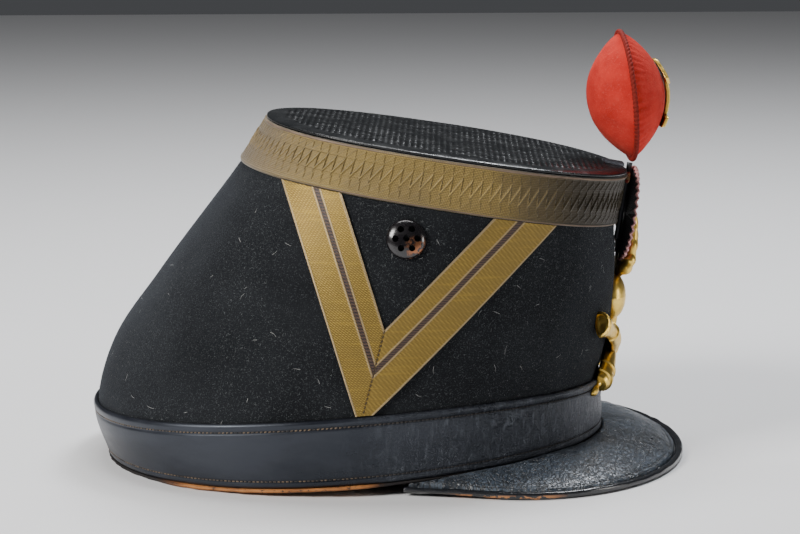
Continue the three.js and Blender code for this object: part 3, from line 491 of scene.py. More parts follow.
rings = on_crown(rim_theta[None, :], ring_share[:, None], ring_lift[:, None])
count, loop = rows * columns, len(border)
strip = grid_faces(len(ring_share), loop, False, True, count)
first_ring = count + np.arange(loop)
join = np.stack([border, np.roll(border, -1), np.roll(first_ring, -1), first_ring], -1)
vertices = np.concatenate([top.reshape(-1, 3), rings.reshape(-1, 3)])
faces = np.concatenate([grid_faces(rows, columns), join[:, ::-1], strip[:, ::-1]])
crown_piece = make_piece("crown_disc", vertices, faces, crown_finish, ["crown_top"])
plain = 0.6
set_relief(crown_piece, np.concatenate([np.where(fade > 0, bosses, plain).ravel(),
                                        np.full(rings.size // 3, plain)]))
mend(crown_piece)

# Lace band. Woven metal thread, dull old gold, sewn round the crown's edge: a row of large zigzags
# with a row of small teeth above and below them, a corded edge at the top and a flat one at the foot.
lace_width = 20.5 * mm
ring = np.linspace(0, 2 * np.pi, 721)
band_height, band_wall = 27.2 * mm, 1.6 * mm
band_rise = band_height * (0.82 + 0.18 * np.sin(ring) ** 2)
band_top_ring = level_up(ring, band_rise)
lace_foot_ring = level_down(ring, lace_width)


def at_ring(theta, values):
    """A value kept for angles round the body, read at any angle."""
    return np.interp(np.mod(theta, 2 * np.pi), ring, values)


def even_angles(level_of, count):
    """Angles that lie evenly along the wall round the body, at a level that may change round it, and
    the length of the way round."""
    line = felt_point(ring, level_of(ring))
    length = np.concatenate([[0], np.cumsum(np.linalg.norm(np.diff(line, axis=0), axis=1))])
    return np.interp(np.linspace(0, length[-1], count + 1), length, ring)[:-1], length[-1]


def woven(tree, cloth, scale, direction, uneven=0.5):
    """Threads that follow each other in one direction of the cloth."""
    inputs = {"Vector": cloth, "Scale": scale, "Distortion": uneven}
    return add(tree, "TexWave", inputs, bands_direction=direction).outputs["Fac"]


lace_finish, tree, shader = new_finish("gold_lace_finish", roughness=0.5, metallic=0.55, sheen_weight=0.2,
                                       sheen_roughness=0.5)
coordinates = add(tree, "TexCoord").outputs
place, cloth = coordinates["Object"], coordinates["UV"]
threads = times(tree, woven(tree, cloth, 0.50, "X"), woven(tree, cloth, 0.46, "Y"))
tarnish = ramp(tree, noise(tree, place, 38, 5, 0.6), 0.4, 0.68)
rubbed = ramp(tree, split(tree, place)["X"], -0.025, -0.065)
# Towards the front the gold is darkened nearly to black: tarnish, and painted shade on the front that turns
# away from the light.
front_tarnish_and_shade = ramp(tree, split(tree, place)["X"], 0.03, 0.075, 0.0, 0.95)
height = relief_height(tree)
gold = mixed(tree, threads, (0.14, 0.095, 0.026, 1), (0.48, 0.34, 0.095, 1))
gold = mixed(tree, times(tree, tarnish, 0.4), gold, (0.12, 0.092, 0.055, 1))
# The raised zigzags and teeth are coloured a brighter gold: a painted highlight on the ridges.
gold = mixed(tree, ramp(tree, height, 0.3, 0.85, 0.0, 0.4), gold, (0.62, 0.45, 0.14, 1))
gold = mixed(tree, times(tree, rubbed, 0.6), gold, (0.135, 0.105, 0.085, 1))
gold = mixed(tree, front_tarnish_and_shade, gold, (0.020, 0.014, 0.007, 1))
paint(tree, shader, gold)
raised = bumped(tree, shader, height, 0.0008, 0.9)
bumped(tree, shader, threads, 0.0003, 0.6, raised)

steps, teeth = 1856, 116
angles, girth = even_angles(lambda t: at_ring(t, (1 + lace_foot_ring) / 2), steps)
across = np.linspace(0, 1, 47)
lace_u = np.linspace(0, teeth, steps + 1)


def ridge(distance_to_line, width):
    """A rounded ridge over a line, from the distance to it."""
    return np.exp(-((distance_to_line / width) ** 2))


def zigzag(u, low, high, rising):
    """A line of teeth between two heights, one to a turn of u, which rises for a share of the turn."""
    t = np.mod(u, 1)
    return low + (high - low) * np.where(t < rising, t / rising, (1 - t) / (1 - rising))


u, v = np.meshgrid(lace_u[:-1], across, indexing="ij")
large = zigzag(u, 0.34, 0.66, 0.75)
upper = zigzag(u + 0.3, 0.72, 0.9, 0.8)
lower = zigzag(u + 0.6, 0.10, 0.27, 0.8)
relief = ridge(v - large, 0.045) + 0.25 * ridge(v - upper, 0.03) + 0.25 * ridge(v - lower, 0.03)
for start, line in ((0.70, upper), (0.08, lower), (0.34, large)):
    relief += 0.3 * ((v > start) & (v < line))
turns = angles[:, None]
relief *= np.clip(0.8 + waves(felt_point(turns, 0.9 + 0 * v), 26 * mm, 0.06, 22), 0.5, 1)
relief += 0.7 * (ridge(v - 0.045, 0.022) + ridge(v - 0.955, 0.022))
rounding = np.clip(np.minimum(v, 1 - v) / 0.02, 0, 1) ** 0.5
foot = at_ring(turns, lace_foot_ring)
levels = foot + (1 - foot) * v
bend = waves(felt_point(turns, levels), 45 * mm, 0.10 * mm, 21)
outer = off_felt(turns, levels, gap + lace_wall * (0.58 + 0.2 * rounding) + 0.42 * mm * relief + bend)
back = off_felt(turns, foot + (1 - foot) * np.array([1.0, 0.5, 0.0]), gap)
column_lines = np.concatenate([across * lace_width / mm, np.array([20.8, 31.0, 41.3, 41.6])])
lace_piece = make_tube("lace_of_crown", np.concatenate([outer, back], 1), lace_finish,
                       ["lace_band"], grid_uv(lace_u * girth / teeth / mm, column_lines))
set_relief(lace_piece, np.concatenate([relief, np.zeros((steps, 3))], 1))


def circle(first, second, angle):
    """Points of a unit circle, from two directions that are square to each other."""
    return first * np.cos(angle)[..., None] + second * np.sin(angle)[..., None]


def twisted_cord(path, ahead, out, radius, strands, pitch, sides=14):
    """A closed cord along a path of points: its section is a ring of lobes, one to a strand, that
    turns once in a pitch. ahead is the path's direction, and out a direction across it."""
    span = np.linalg.norm(np.diff(path, axis=0), axis=1)
    turn = 2 * np.pi * np.concatenate([[0], np.cumsum(span)]) / pitch
    angle = full_turn(sides)
    lobe = 0.68 + 0.32 * np.abs(np.cos((angle[None, :] - turn[:, None]) * strands / 2)) ** 0.8
    section = circle(out[:, None], np.cross(ahead, out)[:, None], angle)
    return path[:, None] + radius * lobe[..., None] * section


def round_way(path):
    """The direction of a closed path at each of its points."""
    return unit(np.roll(path, -1, 0) - np.roll(path, 1, 0))


def cord_path(theta, level, stand):
    """A path round the body, with its direction and the felt's normal."""
    path = off_felt(theta, level, stand)
    return path, round_way(path), felt_normal(theta, level)


trim_finish, tree, shader = new_finish("lace_trim_finish", roughness=0.6, metallic=0.25)
shade = noise(tree, own_place(tree), 120, 3)
paint(tree, shader, mixed(tree, shade, (0.07, 0.045, 0.03, 1), (0.27, 0.19, 0.135, 1)))
trim_twists = 300
for name, level, share, radius in (("lace_top_cord", 0.993, 0.75, 0.48),
                                   ("lace_foot_cord", at_ring(angles, lace_foot_ring) + 0.004, 0.62, 0.36)):
    path, ahead, out = cord_path(angles, level, gap + lace_wall * share)
    points = twisted_cord(path, ahead, out, radius * mm, 2, girth / trim_twists, 8)
    make_tube(name, points, trim_finish)

# Chevrons. A V of brighter gold lace on each side, two arms mitred and stitched where they meet. Each
# arm has pale woven edges and a ribbed dark brown stripe, and its ends pass under the two bands.
chevron_width, chevron_wall = 20.8 * mm, 1.2 * mm
rear_arm_angle, front_arm_angle = np.radians(73.2), np.radians(43.4)
chevron_x, chevron_z = origin_x - 3.3 * mm, 27.7 * mm
mitre = (np.pi - rear_arm_angle + front_arm_angle) / 2
stripe_place, stripe_half = 0.585, 0.046


def seam_x(z):
    """The mitre: a straight line up from the point of the V."""
    return chevron_x + (z - chevron_z) / np.tan(mitre)


def arm_lines(which):
    """The x of an arm's outer and inner edge at a height, and the side of the mitre that it keeps."""
    if which == "rear":
        run, reach = -1 / np.tan(rear_arm_angle), chevron_width / np.sin(rear_arm_angle)
    else:
        run, reach = 1 / np.tan(front_arm_angle), -chevron_width / np.sin(front_arm_angle)

    def outer_edge(z):
        return chevron_x + (z - chevron_z) * run

    return outer_edge, reach, np.minimum if which == "rear" else np.maximum


chevron_finish, tree, shader = new_finish("chevron_lace_finish", roughness=0.46, metallic=0.6,
                                          sheen_weight=0.15, sheen_roughness=0.5)
coordinates = add(tree, "TexCoord").outputs
place, cloth = coordinates["Object"], coordinates["UV"]
threads = times(tree, woven(tree, cloth, 0.5, "DIAGONAL", 0.8), woven(tree, cloth, 0.46, "X"))
side_share = maths(tree, "DIVIDE", split(tree, cloth)["Y"], chevron_width / mm)
from_stripe = maths(tree, "ABSOLUTE", maths(tree, "SUBTRACT", side_share, stripe_place))
stripe = ramp(tree, from_stripe, stripe_half + 0.006, stripe_half - 0.006)
from_stripe_edge = maths(tree, "ABSOLUTE", maths(tree, "SUBTRACT", from_stripe, stripe_half + 0.018))
stripe_edge = ramp(tree, from_stripe_edge, 0.02, 0.008)
selvedge = maths(tree, "MAXIMUM", ramp(tree, side_share, 0.045, 0.025), ramp(tree, side_share, 0.955, 0.975))
ribs = woven(tree, cloth, 0.24, "X", 0.0)
patches = ramp(tree, noise(tree, place, 90, 4, 0.6), 0.35, 0.7)
across_marks = ramp(tree, noise(tree, stretched(tree, cloth, (0.5, 0.05, 1)), 1.0, 2), 0.52, 0.75, 0.0, 0.22)
gold = mixed(tree, threads, (0.17, 0.105, 0.018, 1), (0.58, 0.40, 0.085, 1))
gold = mixed(tree, times(tree, patches, 0.5), gold, (0.22, 0.145, 0.035, 1))
gold = mixed(tree, across_marks, gold, (0.55, 0.36, 0.05, 1))
pale = times(tree, maths(tree, "MAXIMUM", selvedge, stripe_edge), 0.8)
gold = mixed(tree, pale, gold, (0.40, 0.30, 0.17, 1))
gold = mixed(tree, stripe, gold, mixed(tree, ribs, (0.014, 0.007, 0.006, 1), (0.085, 0.045, 0.030, 1)))
paint(tree, shader, gold)
tree.links.new(maths(tree, "SUBTRACT", 0.6, times(tree, stripe, 0.5)), shader.inputs["Metallic"])
bumped(tree, shader, threads, 0.00035, 0.6)

rows, columns = 330, 64
up, share = np.meshgrid(np.linspace(0, 1, rows), np.linspace(0, 1, columns), indexing="ij")
# What is made on the wearer's left is mirrored for the right.
hands = (("left", np.array([1, 1, 1])), ("right", np.array([1, -1, 1])))


def arm_level(theta, up):
    """The level at a share of the way up, from just over the leather band's top to just under the
    lace band's foot."""
    return (at_ring(theta, band_top_ring) + 0.004) * (1 - up) + (at_ring(theta, lace_foot_ring) - 0.002) * up


def sheet_faces(rows, columns):
    """The faces of a sheet: its front, its back, whose points are numbered after it, and its edge."""
    faces, rim, count = grid_faces(rows, columns), around_grid(rows, columns), rows * columns
    after = np.roll(rim, -1)
    walls = np.stack([rim, after, after + count, rim + count], -1)
    return np.concatenate([faces, faces[:, ::-1] + count, walls[:, ::-1]])


for which in ("rear", "front"):
    outer_edge, reach, keep = arm_lines(which)

    def excess(theta):
        """How far a point of the felt lies ahead of its place between the arm's edge and its inner
        edge or mitre."""
        x, _, z = np.moveaxis(felt_point(theta, arm_level(theta, up)), -1, 0)
        inside = keep(outer_edge(z) + reach, seam_x(z))
        return x - (outer_edge(z) + share * (inside - outer_edge(z)))

    theta = solve(np.full(up.shape, 0.2), np.full(up.shape, 2.9), excess)
    level = arm_level(theta, up)
    surface = felt_point(theta, level)
    from_edge = np.abs(surface[..., 0] - outer_edge(surface[..., 2])) / abs(reach)
    relief = 0.9 * ridge(from_edge - 0.02, 0.02) + 0.9 * ridge(from_edge - 0.98, 0.02)
    relief += 0.8 * ridge(np.abs(from_edge - stripe_place) - stripe_half - 0.018, 0.014)
    run_mm = surface[..., 2] / mm / np.sin(rear_arm_angle if which == "rear" else front_arm_angle)
    ribbing = 0.5 * (1 + np.sin(2 * np.pi * run_mm / 1.3))
    relief += 0.45 * ribbing * (np.abs(from_edge - stripe_place) < stripe_half)
    uneven = waves(surface, 22 * mm, 0.07 * mm, 31)
    near_mitre = np.abs(surface[..., 0] - seam_x(surface[..., 2])) * np.sin(mitre)
    sunk = 0.35 * ridge(near_mitre, 0.5 * mm)
    rounding = np.clip(np.minimum(share, 1 - share) / 0.02, 0, 1) ** 0.5
    stands = gap + chevron_wall * (0.55 + 0.25 * rounding) + 0.22 * mm * (relief - 1.2 * sunk) + uneven
    sheet = np.concatenate([off_felt(theta, level, stands).reshape(-1, 3),
                            off_felt(theta, level, gap).reshape(-1, 3)])
    uv_of_point = np.stack([run_mm.ravel(), from_edge.ravel() * chevron_width / mm], -1)
    for hand, mirror in hands:
        faces = sheet_faces(rows, columns)
        if (which == "rear") == (hand == "left"):
            faces = faces[:, ::-1]
        uv = np.concatenate([uv_of_point, uv_of_point])[faces.ravel()]
        replaced = [f"chevron_{hand}"] if which == "rear" else []
        make_piece(f"chevron_{which}_arm_{hand}", sheet * mirror, faces, chevron_finish,
                   replaced, uv)


def stitches(name, middles, ahead, out, length, radius, material):
    """A row of stitches in one piece: rounded bars, each of seven rings, whose radius at a share s of
    half the length is the radius times the root of 1 - s cubed."""
    ahead, out = unit(ahead), unit(out)
    side = np.cross(ahead, out)
    rings, sides = 7, 8
    spots, angle = np.linspace(-1, 1, rings), full_turn(sides)
    swell = radius * np.sqrt(np.maximum(1 - np.abs(spots) ** 3, 0.02))[:, None]
    points = (middles[:, None, None] + ahead[:, None, None] * (spots * length / 2)[None, :, None, None]
              + out[:, None, None] * (swell * np.cos(angle))[None, :, :, None]
              + side[:, None, None] * (swell * np.sin(angle))[None, :, :, None])
    first = rings * sides * np.arange(len(middles))[:, None, None]
    ends = np.array([np.arange(sides)[::-1], (rings - 1) * sides + np.arange(sides)])
    quads = (grid_faces(rings, sides, False, True)[None] + first).reshape(-1, 4)
    caps = (ends[None] + first).reshape(-1, sides)
    make_piece(name, points.reshape(-1, 3), quads.tolist() + caps.tolist(), material)


def on_side(x, z):
    """The angle and the level of the point on the wearer's left that has an x and a height."""
    theta = solve(np.full(z.shape, 0.2), np.full(z.shape, 2.9),
                  lambda t: felt_point(t, level_at(t, z))[..., 0] - x)
    return theta, level_at(theta, z)


gold_thread, tree, shader = new_finish("gold_thread_finish", roughness=0.6, metallic=0.2)
shade = noise(tree, own_place(tree), 700, 2)
paint(tree, shader, mixed(tree, shade, (0.012, 0.007, 0.004, 1), (0.10, 0.06, 0.02, 1)))
heights = np.arange(34.5, 66.5, 1.7) * mm
theta, level = on_side(seam_x(heights), heights)
middles, out = off_felt(theta, level, gap + chevron_wall * 0.86), felt_normal(theta, level)
along_seam = unit(np.gradient(middles, axis=0))
ahead = along_seam + 0.35 * np.cross(out, along_seam)
for hand, mirror in hands:
    stitches(f"mitre_stitches_{hand}", middles * mirror, ahead * mirror, out * mirror, 1.3 * mm, 0.24 * mm,
             gold_thread)

# Ventilators. A black japanned dome of thin metal in each V, pierced by one hole and a ring of six.
# The japanning has worn through to copper on its lower front.
vent_x, vent_z = origin_x + 16.0 * mm, 100.4 * mm
vent_radius, vent_height, vent_wall = 7.9 * mm, 3.4 * mm, 1.0 * mm
hole_radius, hole_ring = 1.3 * mm, 4.3 * mm
theta, level = on_side(vent_x, np.array([vent_z]))
seat, vent_out = off_felt(theta, level, gap)[0], felt_normal(theta, level)[0]
vent_side = unit(np.cross(vent_out, [0, 0, 1.0]))
vent_up = np.cross(vent_side, vent_out)
vent_finish, tree, shader = new_finish("japanned_finish", roughness=0.2, metallic=0.0, coat_weight=0.4,
                                       coat_roughness=0.12)
place = own_place(tree)
chips = noise(tree, place, 420, 5, 0.65)
worn_spot = (seat + 0.0032 * np.array([1, 0, -1])) * [1, -1, 1]
from_spot = add(tree, "VectorMath", {0: place, 1: tuple(worn_spot)}, operation="DISTANCE").outputs["Value"]
worn = times(tree, ramp(tree, from_spot, 0.0062, 0.0035), ramp(tree, chips, 0.44, 0.54))
paint(tree, shader, mixed(tree, worn, (0.006, 0.005, 0.006, 1), (0.30, 0.12, 0.055, 1)))
tree.links.new(ramp(tree, chips, 0.3, 0.7, 0.16, 0.34), shader.inputs["Roughness"])
tree.links.new(worn, shader.inputs["Metallic"])
bumped(tree, shader, chips, 0.0001, 0.4)
arc = np.linspace(0, np.pi / 2, 26)
reach = np.concatenate([vent_radius * np.cos(arc), (vent_radius - vent_wall) * np.cos(arc[::-1])])
rise = np.concatenate([vent_height * np.sin(arc), (vent_height - vent_wall) * np.sin(arc[::-1])])
angle = full_turn(96)
dome = seat + circle(vent_side, vent_up, angle)[:, None] * reach[:, None] + vent_out * rise[:, None]
centres = [(0.0, 0.0)] + [(hole_ring * np.cos(a), hole_ring * np.sin(a)) for a in np.arange(6) * np.pi / 3]
drill_sides, drill_ends, touching = 16, np.array([-3.0, 8.0]) * mm, 0.000001
drill_points, drill_faces = [], []
for right, above in centres:
    first = 2 * drill_sides * len(drill_points)
    drill_points.append(seat + vent_side * right + vent_up * above + vent_out * drill_ends[:, None, None]
                        + hole_radius * circle(vent_side, vent_up, angle[::6]))
    drill_faces += grid_faces(2, drill_sides, False, True, first).tolist()
    far_end = first + drill_sides
    drill_faces += [list(range(first, far_end)), list(range(far_end + drill_sides - 1, far_end - 1, -1))]
for hand, mirror in hands:
    dome_piece = make_tube(f"ventilator_dome_{hand}", dome * mirror, vent_finish,
                           [f"ventilator_{hand}"])
    drill_mesh = bpy.data.meshes.new("drill")
    drill_mesh.from_pydata((np.concatenate(drill_points).reshape(-1, 3) * mirror).tolist(), [], drill_faces)
    drill = stand_in_scene("drill", drill_mesh)
    mend(drill, touching)
    mend(dome_piece, touching)
    cut = dome_piece.modifiers.new("holes", "BOOLEAN")
    cut.object, cut.operation, cut.solver = drill, "DIFFERENCE", "EXACT"
    bpy.context.view_layer.update()
    pierced = dome_piece.evaluated_get(bpy.context.evaluated_depsgraph_get())
    shaped = bpy.data.meshes.new_from_object(pierced)
    dome_piece.modifiers.clear()
    dome_piece.data = shaped
    bpy.data.objects.remove(drill)
    shaped.set_sharp_from_angle(angle=np.radians(40))

# Leather band. Black waxed leather round the foot of the felt, with a smooth lip above an upper row
# of stitches and a second row over its lower edge. Its front half is creased and crackled.
band_steps, stitch_count = 900, 350


def cracked(tree, vector, scale):
    """The distance to the nearest crack of a net of cracks."""
    inputs = {"Vector": vector, "Scale": scale}
    return add(tree, "TexVoronoi", inputs, feature="DISTANCE_TO_EDGE").outputs["Distance"]


band_finish, tree, shader = new_finish("black_leather_finish", roughness=0.3, specular_ior_level=0.45,
                                       specular_tint=(0.8, 0.88, 1.0, 1))
place = own_place(tree)
smears = noise(tree, stretched(tree, place, (22, 22, 60)), 1.0, 5, 0.6)
front_part = ramp(tree, split(tree, place)["X"], -0.035, 0.03)
# The band is coloured lighter towards its front end: a painted sheen.
front_end_painted_sheen = ramp(tree, split(tree, place)["X"], 0.062, 0.082, 0.0, 0.6)
cracks = cracked(tree, stretched(tree, place, (620, 620, 900)), 1.0)
crease = noise(tree, stretched(tree, place, (420, 420, 130)), 1.0, 6, 0.7, 0.6)
tone = mixed(tree, ramp(tree, smears, 0.35, 0.7), (0.0075, 0.0085, 0.0125, 1), (0.022, 0.024, 0.031, 1))
pale = times(tree, ramp(tree, crease, 0.50, 0.64), times(tree, front_part, 0.85))
tone = mixed(tree, pale, tone, (0.060, 0.066, 0.078, 1))
tone = mixed(tree, front_end_painted_sheen, tone, (0.115, 0.12, 0.14, 1))
paint(tree, shader, tone)
tree.links.new(ramp(tree, smears, 0.3, 0.75, 0.26, 0.46), shader.inputs["Roughness"])
fine = bumped(tree, shader, noise(tree, place, 900, 4, 0.6), 0.00008, 0.5)
creased = times(tree, crease, front_part)
fine = bumped(tree, shader, creased, 0.0011, 0.9, fine)
bumped(tree, shader, times(tree, ramp(tree, cracks, 0.0, 0.08), front_part), 0.0003, 0.7, fine)

angles, _ = even_angles(lambda t: at_ring(t, band_top_ring * 0.5), band_steps)
up = np.linspace(0, 1, 74)
top_level = at_ring(angles, band_top_ring)[:, None]
tall = at_ring(angles, band_rise)[:, None]
from_top, from_foot = (1 - up) * tall, up * tall
rounding = np.sqrt(np.clip(np.minimum(from_top, from_foot) / (0.9 * mm), 0, 1))
upper_row, lower_row, lip = 3.3 * mm, 3.0 * mm, 1.3 * mm
relief = 0.22 * mm * ridge(from_top - lip, 1.0 * mm)
relief -= 0.42 * mm * ridge(from_top - upper_row, 0.6 * mm)
relief -= 0.32 * mm * ridge(from_foot - lower_row, 0.5 * mm)
surface = felt_point(angles[:, None], top_level * up)
in_front_half = np.clip((surface[..., 0] + 0.03) / 0.06, 0, 1) * (from_top > 2 * mm)
relief += in_front_half * (waves(surface * [1, 1, 2.5], 18 * mm, 0.07 * mm, 41)
                           + waves(surface * [1, 1, 0.5], 3.5 * mm, 0.035 * mm, 42))
outer = off_felt(angles[:, None], top_level * up, gap + band_wall * (0.55 + 0.35 * rounding) + relief)
back = off_felt(angles[:, None], top_level * np.array([1.0, 0.5, 0.0]), gap)
make_tube("leather_foot_band", np.concatenate([outer, back], 1), band_finish,
          ["leather_band"])

tan_thread, tree, shader = new_finish("waxed_thread_finish", roughness=0.6)
place = own_place(tree)
tan_part = times(tree, ramp(tree, noise(tree, place, 320, 3), 0.35, 0.6),
                 ramp(tree, split(tree, place)["X"], 0.0, -0.035, 0.08, 1.0))
paint(tree, shader, mixed(tree, tan_part, (0.014, 0.012, 0.012, 1), (0.13, 0.09, 0.055, 1)))
# Near-black capsules between the stitches stand for the holes: painted shade in the holes.
hole_shade_finish, tree, shader = new_finish("stitch_hole_finish", base_color=(0.003, 0.0025, 0.0025, 1),
                                       roughness=0.9)
for name, rise_of, slant in (("upper", lambda t: at_ring(t, band_rise) - upper_row, 0.45),
                             ("lower", lambda t: 0 * t + lower_row, 0.0)):
    for kind, offset, length, radius, sunk, finish in (("thread", 0.0, 1.15, 0.30, 0.22, tan_thread),
                                                       ("holes", 0.5, 0.62, 0.38, 0.42, hole_shade_finish)):
        at = (np.arange(stitch_count) + offset) / stitch_count
        spots = np.interp(at, np.linspace(0, 1, band_steps + 1), np.append(angles, 2 * np.pi))
        level = level_up(spots, rise_of(spots))
        middles, ahead, out = cord_path(spots, level, gap + band_wall * 0.9 - sunk * mm)
        stitches(f"band_{name}_{kind}", middles, ahead + slant * np.cross(out, ahead), out, length * mm,
                 radius * mm, finish)

# Sweatband. Brown leather inside the felt, its lower edge turned out flat under the felt and the
# band, where it shows as a thin, frayed, orange-brown line behind the peak.
sweat_wall, sweat_edge, sweat_show, sweat_height = 1.3 * mm, 1.1 * mm, 1.2 * mm, 32.0 * mm
peak_corner = np.radians(83.5)
brown_finish, tree, shader = new_finish("brown_leather_finish", roughness=0.62, specular_ior_level=0.35)
place = own_place(tree)
stain = noise(tree, place, 55, 5, 0.65)
fray = noise(tree, place, 600, 4, 0.6)
tone = mixed(tree, ramp(tree, stain, 0.35, 0.68), (0.42, 0.17, 0.05, 1), (0.20, 0.075, 0.025, 1))
tone = mixed(tree, ramp(tree, fray, 0.56, 0.66), tone, (0.05, 0.025, 0.015, 1))
parts = split(tree, place)
# Low down, towards the rear and towards the front, its colour is darkened nearly to black.
dark_rear_and_front = maths(tree, "MAXIMUM", ramp(tree, parts["X"], -0.084, -0.098),
                ramp(tree, parts["X"], -0.018, -0.006))
dark_rear_and_front = times(tree, dark_rear_and_front, ramp(tree, parts["Z"], 0.0135, 0.0115))
tone = mixed(tree, dark_rear_and_front, tone, (0.012, 0.010, 0.010, 1))
paint(tree, shader, tone)
bumped(tree, shader, fray, 0.0004, 0.6)
angles = full_turn(540)
rim = felt_point(angles, 0.0)
inner, back = -(felt_wall + gap + sweat_wall), -(felt_wall + gap)
behind = np.pi - np.abs(np.pi - angles) - (peak_corner + np.radians(2))
show = gap + band_wall + sweat_show * np.clip(behind / np.radians(6), 0, 1)
ragged = waves(rim, 9 * mm, 0.16 * mm, 51) + waves(rim, 2.5 * mm, 0.06 * mm, 52)
show = show - 0.2 * mm + np.minimum(ragged, 0.2 * mm)
show -= 1.0 * mm * np.clip((-0.088 - rim[:, 0]) / 0.012, 0, 1)


def below(stand, drop):
    """A point under the rim, at a stand off the felt and a drop below its edge, never under the table."""
    point = off_felt(angles, 0.0, stand)
    point[:, 2] = np.maximum(rim[:, 2] - drop, 0)
    return point


edge_rows = [below(inner, gap + sweat_edge), below(show - 0.3 * mm, gap + sweat_edge),
             below(show, gap + 0.7 * sweat_edge), below(show, gap + 0.3 * sweat_edge),
             below(show - 0.3 * mm, gap), below(back, gap)]
top_level = level_up(angles, sweat_height * (0.9 + 0.1 * np.sin(angles) ** 2))[:, None]
climb = np.linspace(0.1, 1, 14)
outside = off_felt(angles[:, None], top_level * climb, back)
inside = off_felt(angles[:, None], top_level * climb[::-1], inner)
make_tube("sweatband_leather", np.concatenate([np.stack(edge_rows, 1), outside, inside], 1), brown_finish,
          ["sweatband"])

# Peak. Black leather, blue-grey where it has lost its blacking, crackled all over, with a line
# pressed along its edge. It is sewn to the foot of the band and bows a little between band and edge.
peak_centre_x, peak_half_width = origin_x + 63.5 * mm, 94.7 * mm
peak_wall, peak_seat, peak_crown, press_line = 2.4 * mm, 3.2 * mm, 2.6 * mm, 2.4 * mm
peak_arc, arc_share = np.radians(100), 0.82
binding_width, binding_height = 3.2 * mm, 3.0 * mm
peak_half = origin_x + peak_reach - peak_centre_x
corner_lift, peak_tuck = 1.6 * mm, 2.8 * mm
z_up = np.array([0, 0, 1.0])


def corner(along):
    """How far a place has gone from the resting edge (0) to a rear corner (1), which is lifted."""
    share = np.clip((np.abs(along) - 0.72) / 0.27, 0, 1)
    return share * share * (3 - 2 * share)


def peak_edge(along, inset):
    """The peak's outer edge in plan: an ellipse, then a straight stretch to each rear corner, moved
    inwards by an inset. along runs from -1 to 1. Returns x, y and the outward normal."""
    bend = np.minimum(np.abs(along) / arc_share, 1)
    angle = peak_arc * bend
    x, y = peak_centre_x + peak_half * np.cos(angle), peak_half_width * np.sin(angle)
    normal = unit(np.stack([peak_half_width * np.cos(angle), peak_half * np.sin(angle)], -1))
    past = np.maximum(np.abs(along) - arc_share, 0) / (1 - arc_share)
    corner_x = off_felt(peak_corner, 0.0, gap + band_wall)[0]
    left = np.where(past > 0, (x - corner_x) / np.maximum(normal[..., 1], 0.1), 0) * past
    x = x - normal[..., 1] * left - normal[..., 0] * inset
    y = y + normal[..., 0] * left - normal[..., 1] * inset
    return x, np.sign(along) * y, normal


def peak_sheet(along, share):
    """The middle of the peak's thickness: straight from the band to the edge in plan, and bowed up."""
    theta = peak_corner * along
    level = level_up(theta, peak_seat - peak_wall / 2)
    inner_line = off_felt(theta, level, 2 * gap + band_wall)
    inner_line[..., 2] -= peak_tuck * (1 + 0.6 * corner(along) ** 2)
    x, y, _ = peak_edge(along, binding_width + gap)
    height = binding_height / 2 * (1 - 0.35 * corner(along)) + corner_lift * corner(along)
    outer_line = np.stack([x, y, height], -1)
    bow = peak_crown * 4 * share * (1 - share) * np.cos(theta)
    return inner_line + (outer_line - inner_line) * share[..., None] + z_up * bow[..., None]


peak_finish, tree, shader = new_finish("peak_leather_finish", roughness=0.34, specular_ior_level=0.9,
                                       coat_weight=0.15, coat_roughness=0.25)
place = own_place(tree)
flat = stretched(tree, place, (1, 1, 0.3))
wander = stretched(tree, add(tree, "TexNoise", {"Vector": flat, "Scale": 500.0}).outputs["Color"],
                   (0.0022, 0.0022, 0.0022))
bent = add(tree, "VectorMath", {0: flat, 1: wander}, operation="ADD").outputs["Vector"]
crackle = ramp(tree, cracked(tree, bent, 620.0), 0.0, 0.16)
faded = noise(tree, flat, 34, 5, 0.6)
patina = noise(tree, flat, 400, 4, 0.7)
tone = mixed(tree, ramp(tree, faded, 0.35, 0.65), (0.012, 0.016, 0.023, 1), (0.048, 0.066, 0.092, 1))
tone = mixed(tree, ramp(tree, patina, 0.45, 0.75, 0.0, 0.8), tone, (0.12, 0.155, 0.20, 1))
tone = mixed(tree, maths(tree, "SUBTRACT", 1.0, crackle), tone, (0.006, 0.007, 0.009, 1))
paint(tree, shader, tone)
tree.links.new(ramp(tree, patina, 0.3, 0.75, 0.26, 0.5), shader.inputs["Roughness"])
grain = bumped(tree, shader, crackle, 0.00035, 0.9)
bumped(tree, shader, patina, 0.0003, 0.5, grain)

along = np.linspace(-0.975, 0.975, 421)[:, None]
share = np.concatenate([[0.0], np.linspace(0.012, 0.988, 70), [1.0]])[None, :]
along_grid, share_grid = along + 0 * share, share + 0 * along
middle = peak_sheet(along_grid, share_grid)
span = np.linalg.norm(middle[:, -1] - middle[:, 0], axis=-1)[:, None]
from_outer = (1 - share_grid) * span
rounding = np.sqrt(np.clip(np.minimum(from_outer, share_grid * span) / (0.8 * mm), 0, 1))
thick = peak_wall / 2 * (0.55 + 0.45 * rounding)
pressed = -0.35 * mm * ridge(from_outer - press_line, 0.35 * mm)
pressed += 0.2 * mm * ridge(from_outer - press_line / 2, 0.6 * mm)
wrinkle = waves(middle, 30 * mm, 0.16 * mm, 61) + waves(middle, 7 * mm, 0.04 * mm, 62)
top = middle + z_up * (thick + pressed + wrinkle * rounding)[..., None]
under = middle - z_up * thick[..., None]
points = np.concatenate([top, under[:, ::-1]], 1)
count = points.shape[1]
lower = np.arange(count // 2 - 1)
end_first = np.stack([lower, lower + 1, count - 2 - lower, count - 1 - lower], -1)
end_last = end_first[:, ::-1] + (len(along) - 1) * count
faces = np.concatenate([grid_faces(len(along), count, False, True), end_first, end_last])
peak_piece = make_piece("peak_leather", points.reshape(-1, 3), faces, peak_finish, ["peak"])
mend(peak_piece)

